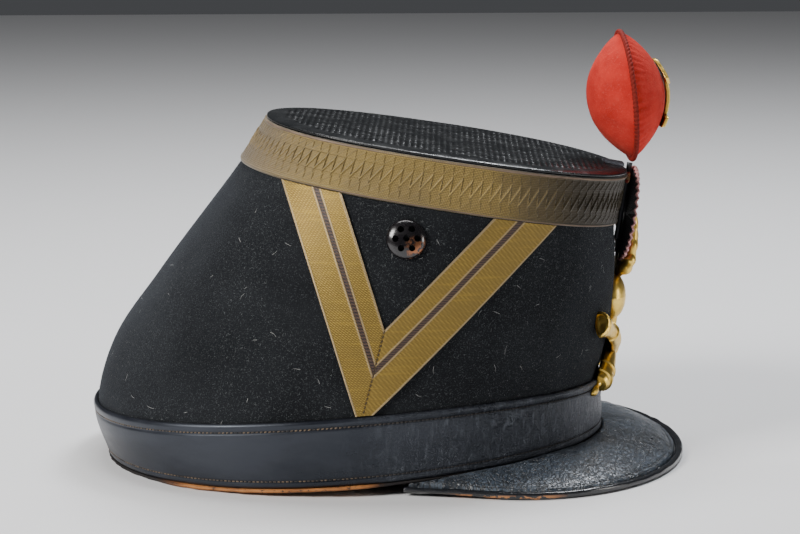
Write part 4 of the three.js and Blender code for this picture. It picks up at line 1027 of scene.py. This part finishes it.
# Bound edge. A narrow strip of black leather folded round the peak's edge and stitched through it.
# It is worn to orange-brown bare leather along its foot on the wearer's right.
edge_finish, tree, shader = new_finish("binding_leather_finish", roughness=0.26, specular_ior_level=0.6,
                                       coat_weight=0.3, coat_roughness=0.15)
place = own_place(tree)
parts = split(tree, place)
tatter = noise(tree, stretched(tree, place, (210, 210, 420)), 1.0, 5, 0.65)
low = ramp(tree, parts["Z"], 0.0022, 0.0013)
right_side = times(tree, ramp(tree, parts["X"], 0.014, 0.022), ramp(tree, parts["X"], 0.066, 0.054))
right_side = times(tree, right_side, ramp(tree, parts["Y"], -0.06, -0.075))
worn = times(tree, ramp(tree, tatter, 0.47, 0.52), times(tree, low, right_side))
scuffs = times(tree, ramp(tree, noise(tree, place, 480, 4, 0.7), 0.62, 0.68), 0.5)
tone = mixed(tree, scuffs, (0.010, 0.011, 0.014, 1), (0.085, 0.07, 0.055, 1))
tone = mixed(tree, worn, tone, mixed(tree, tatter, (0.60, 0.27, 0.09, 1), (0.38, 0.14, 0.04, 1)))
paint(tree, shader, tone)
tree.links.new(maths(tree, "ADD", 0.24, times(tree, worn, 0.4)), shader.inputs["Roughness"])
bumped(tree, shader, tatter, 0.0005, 0.5)


def bar_faces(rings, sides):
    """The faces of a closed bar: those between its rings, and one at each end."""
    first = np.arange(sides)
    ends = [first[::-1].tolist(), (first + (rings - 1) * sides).tolist()]
    return grid_faces(rings, sides, False, True).tolist() + ends


rings, sides = 641, 24
along, angle = np.linspace(-0.992, 0.992, rings), full_turn(sides)
out_share = 0.5 + 0.5 * np.sign(np.cos(angle)) * np.abs(np.cos(angle)) ** 0.75
up_share = 0.5 + 0.5 * np.sign(np.sin(angle)) * np.abs(np.sin(angle)) ** 0.75
x, y, normal = peak_edge(along, 0 * along)
line = np.stack([x, y, 0 * along], -1)
normal = np.stack([normal[:, 0], normal[:, 1] * np.sign(along), 0 * along], -1)
lumpy = waves(line, 9 * mm, 0.07 * mm, 71)[:, None]
groove = 0.3 * mm * ridge(out_share - 0.2, 0.16)
lifted = corner(along)[:, None]
rise = binding_height * up_share * (1 - 0.35 * lifted) + corner_lift * lifted
rise += np.where(up_share > 0.5, lumpy - groove, 0)
points = line[:, None] - normal[:, None] * (binding_width * (1 - out_share))[None, :, None]
points = points + z_up * rise[..., None]
faces = [face[::-1] for face in bar_faces(rings, sides)]
binding_piece = make_piece("peak_edge_binding", points.reshape(-1, 3), faces, edge_finish,
                           ["peak_binding"])
mend(binding_piece)

run = np.linspace(-0.95, 0.95, 190)
depth = np.linalg.norm(peak_sheet(run, 0 * run + 1) - peak_sheet(run, 0 * run), axis=-1)
middles = peak_sheet(run, 1 - press_line / depth) + z_up * (peak_wall / 2 - 0.25 * mm)
ahead = unit(np.gradient(middles, axis=0))
out = unit(np.cross(ahead, np.cross(z_up, ahead)))
stitches("peak_stitches", middles[2:-2], ahead[2:-2], out[2:-2], 1.1 * mm, 0.14 * mm, tan_thread)

# Pompon. Two halves of red felt puffed over a stuffing and sewn edge to edge, with a twisted red
# cord round the seam. It stands on a wire in front of the crown and leans back a little.
pompon_height, pompon_width, pompon_thickness = 51.2 * mm, 49.0 * mm, 32.6 * mm
pompon_lean, pompon_cord = np.radians(5.9), 2.6 * mm
stem_radius, stem_rise, stem_reach = 1.2 * mm, 3.0 * mm, 29.0 * mm
crown_front = off_felt(0.0, 1.0, gap + lace_wall)
foot_level = level_at(np.array([0.0]), crown_front[2] - stem_reach)
stem_foot = off_felt(0.0, foot_level, gap + stem_radius)[0] + [gap, 0, 0]
stem_pass = crown_front + [gap + stem_radius, 0, 0]
stem_top = stem_foot + (stem_pass - stem_foot) * (stem_reach + stem_rise) / stem_reach
stem_axis = unit(stem_top - stem_foot)
pompon_up = np.array([-np.sin(pompon_lean), 0, np.cos(pompon_lean)])
pompon_front = np.array([np.cos(pompon_lean), 0, np.sin(pompon_lean)])
pompon_side = np.array([0, 1.0, 0])
pompon_centre = stem_top + stem_axis * (gap + pompon_cord) + pompon_up * pompon_height / 2


def in_pompon(forward, side, up):
    """A point of the pompon's own frame."""
    return (pompon_centre + pompon_front * forward[..., None] + pompon_side * side[..., None]
            + pompon_up * up[..., None])


red_finish, tree, shader = new_finish("red_felt_finish", roughness=0.92, specular_ior_level=0.12,
                                      sheen_weight=0.12, sheen_roughness=0.4,
                                      sheen_tint=(1.0, 0.4, 0.3, 1))
place = own_place(tree)
cloud = noise(tree, place, 90, 4, 0.6)
fibre = noise(tree, place, 1500, 3, 0.7, 1.0)
red = mixed(tree, ramp(tree, cloud, 0.35, 0.7), (0.48, 0.022, 0.016, 1), (0.61, 0.040, 0.028, 1))
red = mixed(tree, ramp(tree, fibre, 0.55, 0.75, 0.0, 0.5), red, (0.62, 0.11, 0.08, 1))
paint(tree, shader, red)
lumps = bumped(tree, shader, cloud, 0.0012, 0.4)
bumped(tree, shader, fibre, 0.0005, 0.8, lumps)
puff_reach = 1.03


def puff(r):
    """Half the pompon's thickness at a share r of the way out: (1 - (r / 1.03) squared) ** 0.85 of it."""
    return pompon_thickness / 2 * np.maximum(1 - (r / puff_reach) ** 2, 0) ** 0.85


angle = full_turn(240)[:, None]
half_rings = 60
r = np.sin(np.linspace(0, np.pi, 2 * half_rings - 1))[None, :] * puff_reach
face = np.where(np.arange(2 * half_rings - 1) < half_rings, 1.0, -1.0)[None, :]
gathers = 0.35 * mm * np.sin(46 * angle + 1.5 * np.sin(5 * angle)) * ridge(r - 1.0, 0.12) * (face > 0)
folds = 0.22 * mm * np.sin(9 * angle + 3 * np.sin(2 * angle)) * ridge(r - 0.8, 0.25)
forward = face * (puff(r) + gathers + folds)
points = in_pompon(forward, pompon_width / 2 * r * np.cos(angle), pompon_height / 2 * r * np.sin(angle))
points += pompon_front * waves(points, 24 * mm, 0.18 * mm, 81)[..., None]
points[:, 0], points[:, -1] = points[:, 0].mean(0), points[:, -1].mean(0)
faces = grid_faces(*points.shape[:2], True, False)[:, ::-1]
pompon_piece = make_piece("pompon_felt", points.reshape(-1, 3), faces, red_finish, ["pompon"])
mend(pompon_piece, 0.00001)

red_hair, tree, shader = new_finish("red_hair_finish", roughness=0.8, specular_ior_level=0.2)
shade = noise(tree, own_place(tree), 700, 1)
paint(tree, shader, mixed(tree, shade, (0.40, 0.02, 0.015, 1), (0.75, 0.22, 0.17, 1)))
random = np.random.default_rng(15)
hair_count = 5200
spread = np.sqrt(random.uniform(0, 0.9, hair_count))
turn_at = random.uniform(0, 2 * np.pi, hair_count)
sign = random.choice([-1, 1], hair_count)
roots = in_pompon(sign * puff(spread), pompon_width / 2 * spread * np.cos(turn_at),
                  pompon_height / 2 * spread * np.sin(turn_at))
slopes = 1.7 * spread / np.maximum(1 - spread**2, 0.02) ** 0.15
normals = unit(sign[:, None] * pompon_front
               + 0.62 * slopes[:, None] * circle(pompon_side, pompon_up, turn_at))
vertices, faces = fibres(roots, normals, 1.1 * mm, 0.05 * mm, 0.35 * mm, 16)
make_piece("pompon_hairs", vertices, faces, red_hair)

cord_finish, tree, shader = new_finish("red_cord_finish", roughness=0.75, specular_ior_level=0.2)
place = own_place(tree)
shade = noise(tree, place, 900, 3, 0.7)
paint(tree, shader, mixed(tree, shade, (0.10, 0.004, 0.003, 1), (0.27, 0.022, 0.014, 1)))
bumped(tree, shader, noise(tree, place, 2200, 2), 0.0002, 0.7)
angle = full_turn(1200)
reach, cord_pitch = pompon_cord / 2 * 0.88, 2 * np.pi * 26 * mm / 44
path = in_pompon(0 * angle, (pompon_width / 2 + reach) * np.cos(angle),
                 (pompon_height / 2 + reach) * np.sin(angle))
ahead = round_way(path)
out = unit(np.cross(ahead, pompon_front))
points = twisted_cord(path, ahead, out, reach, 2, cord_pitch, 18)
make_tube("pompon_seam_cord", points, cord_finish, ["pompon_cord"])

# Brass. Stamped sheet and cast barrels, lacquered and gone soft, brighter on the high places and
# brown in the hollows. It serves for the numeral on the pompon and for the badge.
brass_finish, tree, shader = new_finish("brass_finish", roughness=0.3, metallic=1.0)
place = own_place(tree)
tarnish = noise(tree, place, 150, 5, 0.65)
hollows = ramp(tree, add(tree, "AmbientOcclusion", {"Distance": 0.004}, samples=8).outputs["AO"], 0.35, 0.85)
brass = mixed(tree, ramp(tree, tarnish, 0.35, 0.7), (0.88, 0.61, 0.15, 1), (0.72, 0.48, 0.10, 1))
brass = mixed(tree, hollows, (0.28, 0.175, 0.04, 1), brass)
paint(tree, shader, brass)
tree.links.new(ramp(tree, noise(tree, place, 500, 4, 0.6), 0.3, 0.7, 0.30, 0.46), shader.inputs["Roughness"])
bumped(tree, shader, noise(tree, place, 260, 4), 0.0003, 0.35)

numeral = stand_in_scene("numeral_on_pompon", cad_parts["pompon_numeral"].data.copy())
work = bmesh.new()
work.from_mesh(numeral.data)
bmesh.ops.remove_doubles(work, verts=work.verts, dist=0.00001)
bmesh.ops.dissolve_limit(work, angle_limit=np.radians(2), verts=work.verts, edges=work.edges)
work.to_mesh(numeral.data)
work.free()
bevel = numeral.modifiers.new("edge", "BEVEL")
bevel.width, bevel.segments, bevel.limit_method = 0.5 * mm, 3, "ANGLE"
numeral.data.materials.clear()
numeral.data.materials.append(brass_finish)
numeral.data.polygons.foreach_set("use_smooth", np.ones(len(numeral.data.polygons), bool))
numeral.data.set_sharp_from_angle(angle=np.radians(30))
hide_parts("pompon_numeral")
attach(numeral, "root")

# Stem. A dark iron wire down the front of the lace band, with a small loop of red and gold cord
# beside it and a leather tab behind the pompon's foot.
iron_finish, tree, shader = new_finish("dark_iron_finish", roughness=0.45, metallic=0.7)
shade = noise(tree, own_place(tree), 300, 4)
paint(tree, shader, mixed(tree, shade, (0.03, 0.032, 0.036, 1), (0.10, 0.105, 0.11, 1)))
rings, sides = 60, 24
run = np.linspace(0, 1, rings)
path = stem_foot + (stem_top - stem_foot) * run[:, None]
wide = stem_radius * (0.93 + 0.07 * np.clip((run - 0.8) / 0.1, 0, 1))
section = circle(pompon_side, np.cross(stem_axis, pompon_side), full_turn(sides))
points = path[:, None] + wide[:, None, None] * section
stem_piece = make_piece("pompon_wire", points.reshape(-1, 3), bar_faces(rings, sides), iron_finish,
                        ["pompon_stem"])
mend(stem_piece)

loop_finish, tree, shader = new_finish("loop_cord_finish", roughness=0.6, metallic=0.1)
shade = ramp(tree, noise(tree, own_place(tree), 700, 1), 0.45, 0.55)
paint(tree, shader, mixed(tree, shade, (0.45, 0.05, 0.04, 1), (0.62, 0.42, 0.20, 1)))
loop_low, loop_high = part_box("cord_loop")
loop_centre = np.array((loop_low + loop_high) / 2)
loop_radius, loop_wire = 1.7 * mm, 0.75 * mm
forward = np.array([stem_axis[2], 0, -stem_axis[0]])
out = circle(pompon_side, stem_axis, full_turn(240))
path = loop_centre + loop_radius * out
points = twisted_cord(path, round_way(path), out, loop_wire, 2, 2 * np.pi * loop_radius / 6, 14)
make_tube("loop_of_cord", points, loop_finish, ["cord_loop"])
tab_foot = on_crown(np.array(0.0), np.array(0.965), np.array(crown_shoulder + crown_edge_wall + 2 * gap))
tab_points = 13
run, side_share = np.meshgrid(np.linspace(0, 1, tab_points), np.linspace(-1, 1, tab_points), indexing="ij")
x, y = tab_foot[0] + 1.5 * mm - 8.5 * mm * run, 4.5 * mm * side_share * (1 - 0.5 * run)
crown_z = (crown_middle[2] + (gap + crown_shoulder + crown_edge_wall) / np.cos(crown_tilt)
           - (x - crown_middle[0]) * np.tan(crown_tilt))
above = np.stack([x, y, tab_foot[2] + 0.5 * mm + 1.7 * mm * run - 0.4 * mm * side_share**2], -1)
beneath = np.stack([x, y, np.minimum(crown_z - 0.2 * mm, above[..., 2] - 0.8 * mm)], -1)
vertices = np.concatenate([above.reshape(-1, 3), beneath.reshape(-1, 3)])
tab_piece = make_piece("leather_tab", vertices, sheet_faces(tab_points, tab_points), band_finish,
                       ["pompon_tab"])
mend(tab_piece)
tab_piece.data.set_sharp_from_angle(angle=np.radians(40))

# Cockade. Ribbon pleated into a disc, blue in the middle, then white, then red, faded and soiled,
# with a scalloped edge. It stands on the stem, parallel to it.
cockade_radius, cockade_wall, cockade_pleat = 20.5 * mm, 1.2 * mm, 0.5 * mm
pleats, cockade_drop = 36, 18.2 * mm
share_up = (crown_front[2] - cockade_drop - stem_foot[2]) / (stem_top[2] - stem_foot[2])
cockade_centre = (stem_foot + (stem_top - stem_foot) * share_up
                  + forward * (stem_radius + gap + cockade_pleat + cockade_wall / 2))
cockade_finish, tree, shader = new_finish("cockade_ribbon_finish", roughness=0.6, sheen_weight=0.3,
                                          sheen_roughness=0.4)
coordinates = add(tree, "TexCoord").outputs
place, cloth = coordinates["Object"], coordinates["UV"]
radius_share = maths(tree, "ADD", split(tree, cloth)["Y"], times(tree, noise(tree, place, 300, 2), 0.02))
soil = noise(tree, place, 160, 5, 0.65)
ribbon = mixed(tree, ramp(tree, radius_share, 0.36, 0.38), (0.012, 0.025, 0.11, 1), (0.60, 0.52, 0.48, 1))
ribbon = mixed(tree, ramp(tree, radius_share, 0.69, 0.71), ribbon, (0.42, 0.025, 0.03, 1))
ribbon = mixed(tree, ramp(tree, radius_share, 0.955, 0.975, 0.0, 0.75), ribbon, (0.66, 0.40, 0.38, 1))
ribbon = mixed(tree, ramp(tree, soil, 0.5, 0.8, 0.0, 0.6), ribbon, (0.16, 0.11, 0.09, 1))
# Its back, inside the scalloped edge, is coloured near black.
ribbon = mixed(tree, ramp(tree, relief_height(tree), 0.2, 0.5), (0.012, 0.011, 0.014, 1), ribbon)
paint(tree, shader, ribbon)
bumped(tree, shader, woven(tree, cloth, 28.0, "Y", 0.0), 0.00012, 0.5)


def in_cockade(angle, radius, ahead):
    """A point of the cockade's own frame."""
    return (cockade_centre + circle(pompon_side, stem_axis, angle) * radius[..., None]
            + forward * ahead[..., None])


steps, half_rings = 720, 46
angle = full_turn(steps)[:, None]
r = np.concatenate([np.linspace(0.02, 1, half_rings), np.linspace(1, 0.02, half_rings)])[None, :]
front = np.arange(2 * half_rings) < half_rings
fold = cockade_pleat * np.arcsin(np.sin(pleats * angle)) * 2 / np.pi * np.clip(r * 1.3, 0, 1)
scallop = 1 - 0.018 * (1 - np.abs(np.cos(pleats * angle))) * (r > 0.9)
depth = np.where(front, 1.0, -1.0)[None, :] * cockade_wall / 2 * 0.8
wide = np.clip((1 - r) / 0.02, 0, 1) ** 0.5 * 0.6 + 0.4
points = in_cockade(angle, cockade_radius * r * scallop, fold + depth * wide)
cockade_piece = make_tube("cockade_ribbon", points, cockade_finish, ["cockade"],
                          grid_uv(np.linspace(0, 20, steps + 1), np.concatenate([r[0], [0.02]])))
set_relief(cockade_piece, np.where(front | (r[0] > 0.955), 1.0, 0.0)[None, :] + 0 * angle)
button_radius, button_rise = 2.6 * mm, 0.9 * mm
r = np.linspace(1, 0, 16)[None, :]
dome = cockade_wall / 2 + button_rise * np.sqrt(np.maximum(1 - r**2, 0))
button_piece = make_tube("cockade_button", in_cockade(angle[::8], button_radius * r, dome), brass_finish,
                         wrap=False)
for piece in (cockade_piece, button_piece):
    mend(piece, touching, False)

# Badge. One stamped and soldered brass badge on the front of the felt: a flaming grenade over two
# crossed cannon barrels, bent to the curve of the felt.
ball_diameter, ball_proud = 21.0 * mm, 6.2 * mm
ball_drop, barrel_drop = 53.3 * mm, 21.5 * mm
flame_height, flame_reach, flame_size, neck_radius = 27.0 * mm, 8.6 * mm, 3.3 * mm, 3.6 * mm
barrel_length, barrel_radius, barrel_angle = 77.0 * mm, 5.6 * mm, np.radians(23.5)
barrel_cross, barrel_lift = 0.46, 0.8 * mm
ball_z = crown_front[2] - ball_drop
barrel_z = ball_z - barrel_drop


def in_front(y, z, stand):
    """A point in front of the body at a side distance and a height, standing off the felt."""
    y, z = np.broadcast_arrays(np.asarray(y, float), np.asarray(z, float))
    theta = solve(0 * y, 0 * y + 1.4, lambda t: np.abs(y) - felt_point(t, level_at(t, z))[..., 1])
    point = off_felt(theta, level_at(theta, z), stand)
    point[..., 1] *= np.where(y < 0, -1, 1)
    return point


def round_bar(path, radius, sides=28):
    """A bar of rings along a path, each square to it, closed at both ends by its path's end points."""
    ahead = unit(np.gradient(path, axis=0))
    side = unit(np.cross([1.0, 0, 0], ahead))
    section = circle(side[:, None], np.cross(ahead, side)[:, None], full_turn(sides))
    rings = path[:, None] + radius[:, None, None] * section
    vertices = np.concatenate([rings.reshape(-1, 3), path[:1], path[-1:]])
    turn = np.arange(sides)
    following = (turn + 1) % sides
    first, last, edge = len(path) * sides, len(path) * sides + 1, (len(path) - 1) * sides
    faces = grid_faces(len(path), sides, False, True).tolist()
    faces += np.stack([np.full(sides, first), following, turn], -1).tolist()
    faces += np.stack([np.full(sides, last), edge + turn, edge + following], -1).tolist()
    return vertices, faces


# along and radius, as shares of the barrel's length and of its radius at the breech, to the muzzle
barrel_profile = np.array([
    [0.000, 0.05], [0.006, 0.20], [0.018, 0.32], [0.034, 0.36], [0.052, 0.32], [0.066, 0.22], [0.085, 0.22],
    [0.095, 0.30], [0.100, 0.66], [0.115, 0.80], [0.130, 0.86], [0.135, 1.00], [0.165, 1.00], [0.170, 0.90],
    [0.215, 0.88], [0.220, 0.98], [0.235, 0.98], [0.240, 0.86], [0.440, 0.80], [0.445, 0.89], [0.465, 0.89],
    [0.470, 0.78], [0.800, 0.66], [0.805, 0.76], [0.825, 0.76], [0.830, 0.64], [0.900, 0.64], [0.950, 0.78],
    [0.975, 0.92], [0.995, 0.98], [1.000, 0.94], [1.000, 0.76], [0.985, 0.70], [0.980, 0.05],
])
all_vertices, all_faces = [], []


def join_in(vertices, faces):
    """Adds a form to the badge's mesh."""
    start = sum(len(v) for v in all_vertices)
    all_vertices.append(vertices)
    all_faces.extend([[start + k for k in face] for face in faces])


rings, sides = 260, 32
stations = np.linspace(0, 1, len(barrel_profile))
fine, samples = np.linspace(0, 1, rings), np.linspace(0, 1, 60)
spots = np.interp(fine, stations, barrel_profile[:, 0])
radii = np.interp(fine, stations, barrel_profile[:, 1]) * barrel_radius
past = samples - barrel_cross
for side, lift in ((1, 0.0), (-1, barrel_lift)):
    spine = in_front(side * barrel_length * np.cos(barrel_angle) * past,
                     barrel_z + barrel_length * np.sin(barrel_angle) * past,
                     0.36 * barrel_radius + lift * (1 - (2 * past) ** 2))
    path = np.stack([np.interp(spots, samples, spine[:, k]) for k in range(3)], -1)
    ahead = unit(np.stack([np.interp(spots, samples, np.gradient(spine[:, k])) for k in range(3)], -1))
    across = unit(np.cross([1.0, 0, 0], ahead))
    other = np.cross(ahead, across)
    out = np.sign(other[:, :1]) * other
    angle = full_turn(sides)
    deep = np.where(np.sin(angle) > 0, 1.0, 0.3) * np.sin(angle)
    section = across[:, None] * np.cos(angle)[None, :, None] + out[:, None] * deep[None, :, None]
    points = path[:, None] + radii[:, None, None] * section
    join_in(points.reshape(-1, 3), bar_faces(rings, sides))

rings, sides = 61, 96
ball_angle, ball_turn = np.linspace(0, np.pi, rings)[:, None], full_turn(sides)[None, :]
ball_seat = in_front(0.0, ball_z, 0.0)
rib = 0.25 * mm * ridge(np.abs(np.cos(ball_angle)), 0.05)
ball = np.stack([(ball_proud + 0.6 * mm) * np.sin(ball_angle) * np.cos(ball_turn),
                 (ball_diameter / 2 + rib) * np.sin(ball_angle) * np.sin(ball_turn),
                 (ball_diameter / 2) * np.cos(ball_angle) * np.ones_like(ball_turn)], -1) + ball_seat
join_in(ball.reshape(-1, 3), grid_faces(rings, sides, False, True).tolist())
neck_run = np.linspace(0, 1, 30)
neck_line = in_front(0 * neck_run, barrel_z + (ball_z - barrel_z) * neck_run, neck_radius / 2)
join_in(*round_bar(neck_line, neck_radius * (1.0 - 0.25 * np.sin(np.pi * neck_run))))

# side and up give each flame's tip as shares of the flame's reach and height, and curl bends it
tongues = np.array([[0.00, 1.00, 0.5], [0.30, 0.93, 0.8], [-0.34, 0.90, -0.9], [0.60, 0.82, 0.6],
                    [-0.62, 0.84, -0.5], [0.92, 0.66, 0.9], [-0.95, 0.64, -0.8], [1.05, 0.44, 0.4],
                    [-1.08, 0.42, -0.4], [0.10, 0.62, -0.6], [-0.15, 0.48, 0.5]])
flame_root = in_front(0.0, ball_z + ball_diameter * 0.42, 2.0 * mm)
flame_front = cockade_centre + forward * (cockade_wall / 2 + cockade_pleat + gap + 1.6 * mm)
flame_back, back_tongues = 0.8 * mm, 9
for number, (to_side, up_to, curl) in enumerate(tongues):
    run = np.linspace(0, 1, 44)
    tip_z = flame_root[2] + flame_height * up_to
    tip_x = flame_front[0] - (tip_z - flame_front[2]) * forward[2] / forward[0]
    tip_x += flame_back if number >= back_tongues else 0
    x = flame_root[0] + (tip_x - flame_root[0]) * np.sin(run * np.pi / 2)
    y = flame_reach * to_side * np.sin(run * np.pi * 0.62) / np.sin(np.pi * 0.62)
    y = y + 1.1 * mm * curl * np.sin(run * np.pi * 1.6) * run
    z = flame_root[2] + (tip_z - flame_root[2]) * run
    bulge = flame_size * 0.82 * (0.10 + 0.95 * np.sin(np.pi * (0.12 + 0.87 * run)) ** 0.8)
    bulge *= 1 + 0.14 * np.sin(run * 17 + number)
    join_in(*round_bar(np.stack([x, y, z], -1), bulge, 18))
badge_piece = make_piece("grenade_and_barrels", np.concatenate(all_vertices), all_faces, brass_finish,
                         ["front_badge"])
mend(badge_piece, touching)
badge_piece.data.set_sharp_from_angle(angle=np.radians(50))
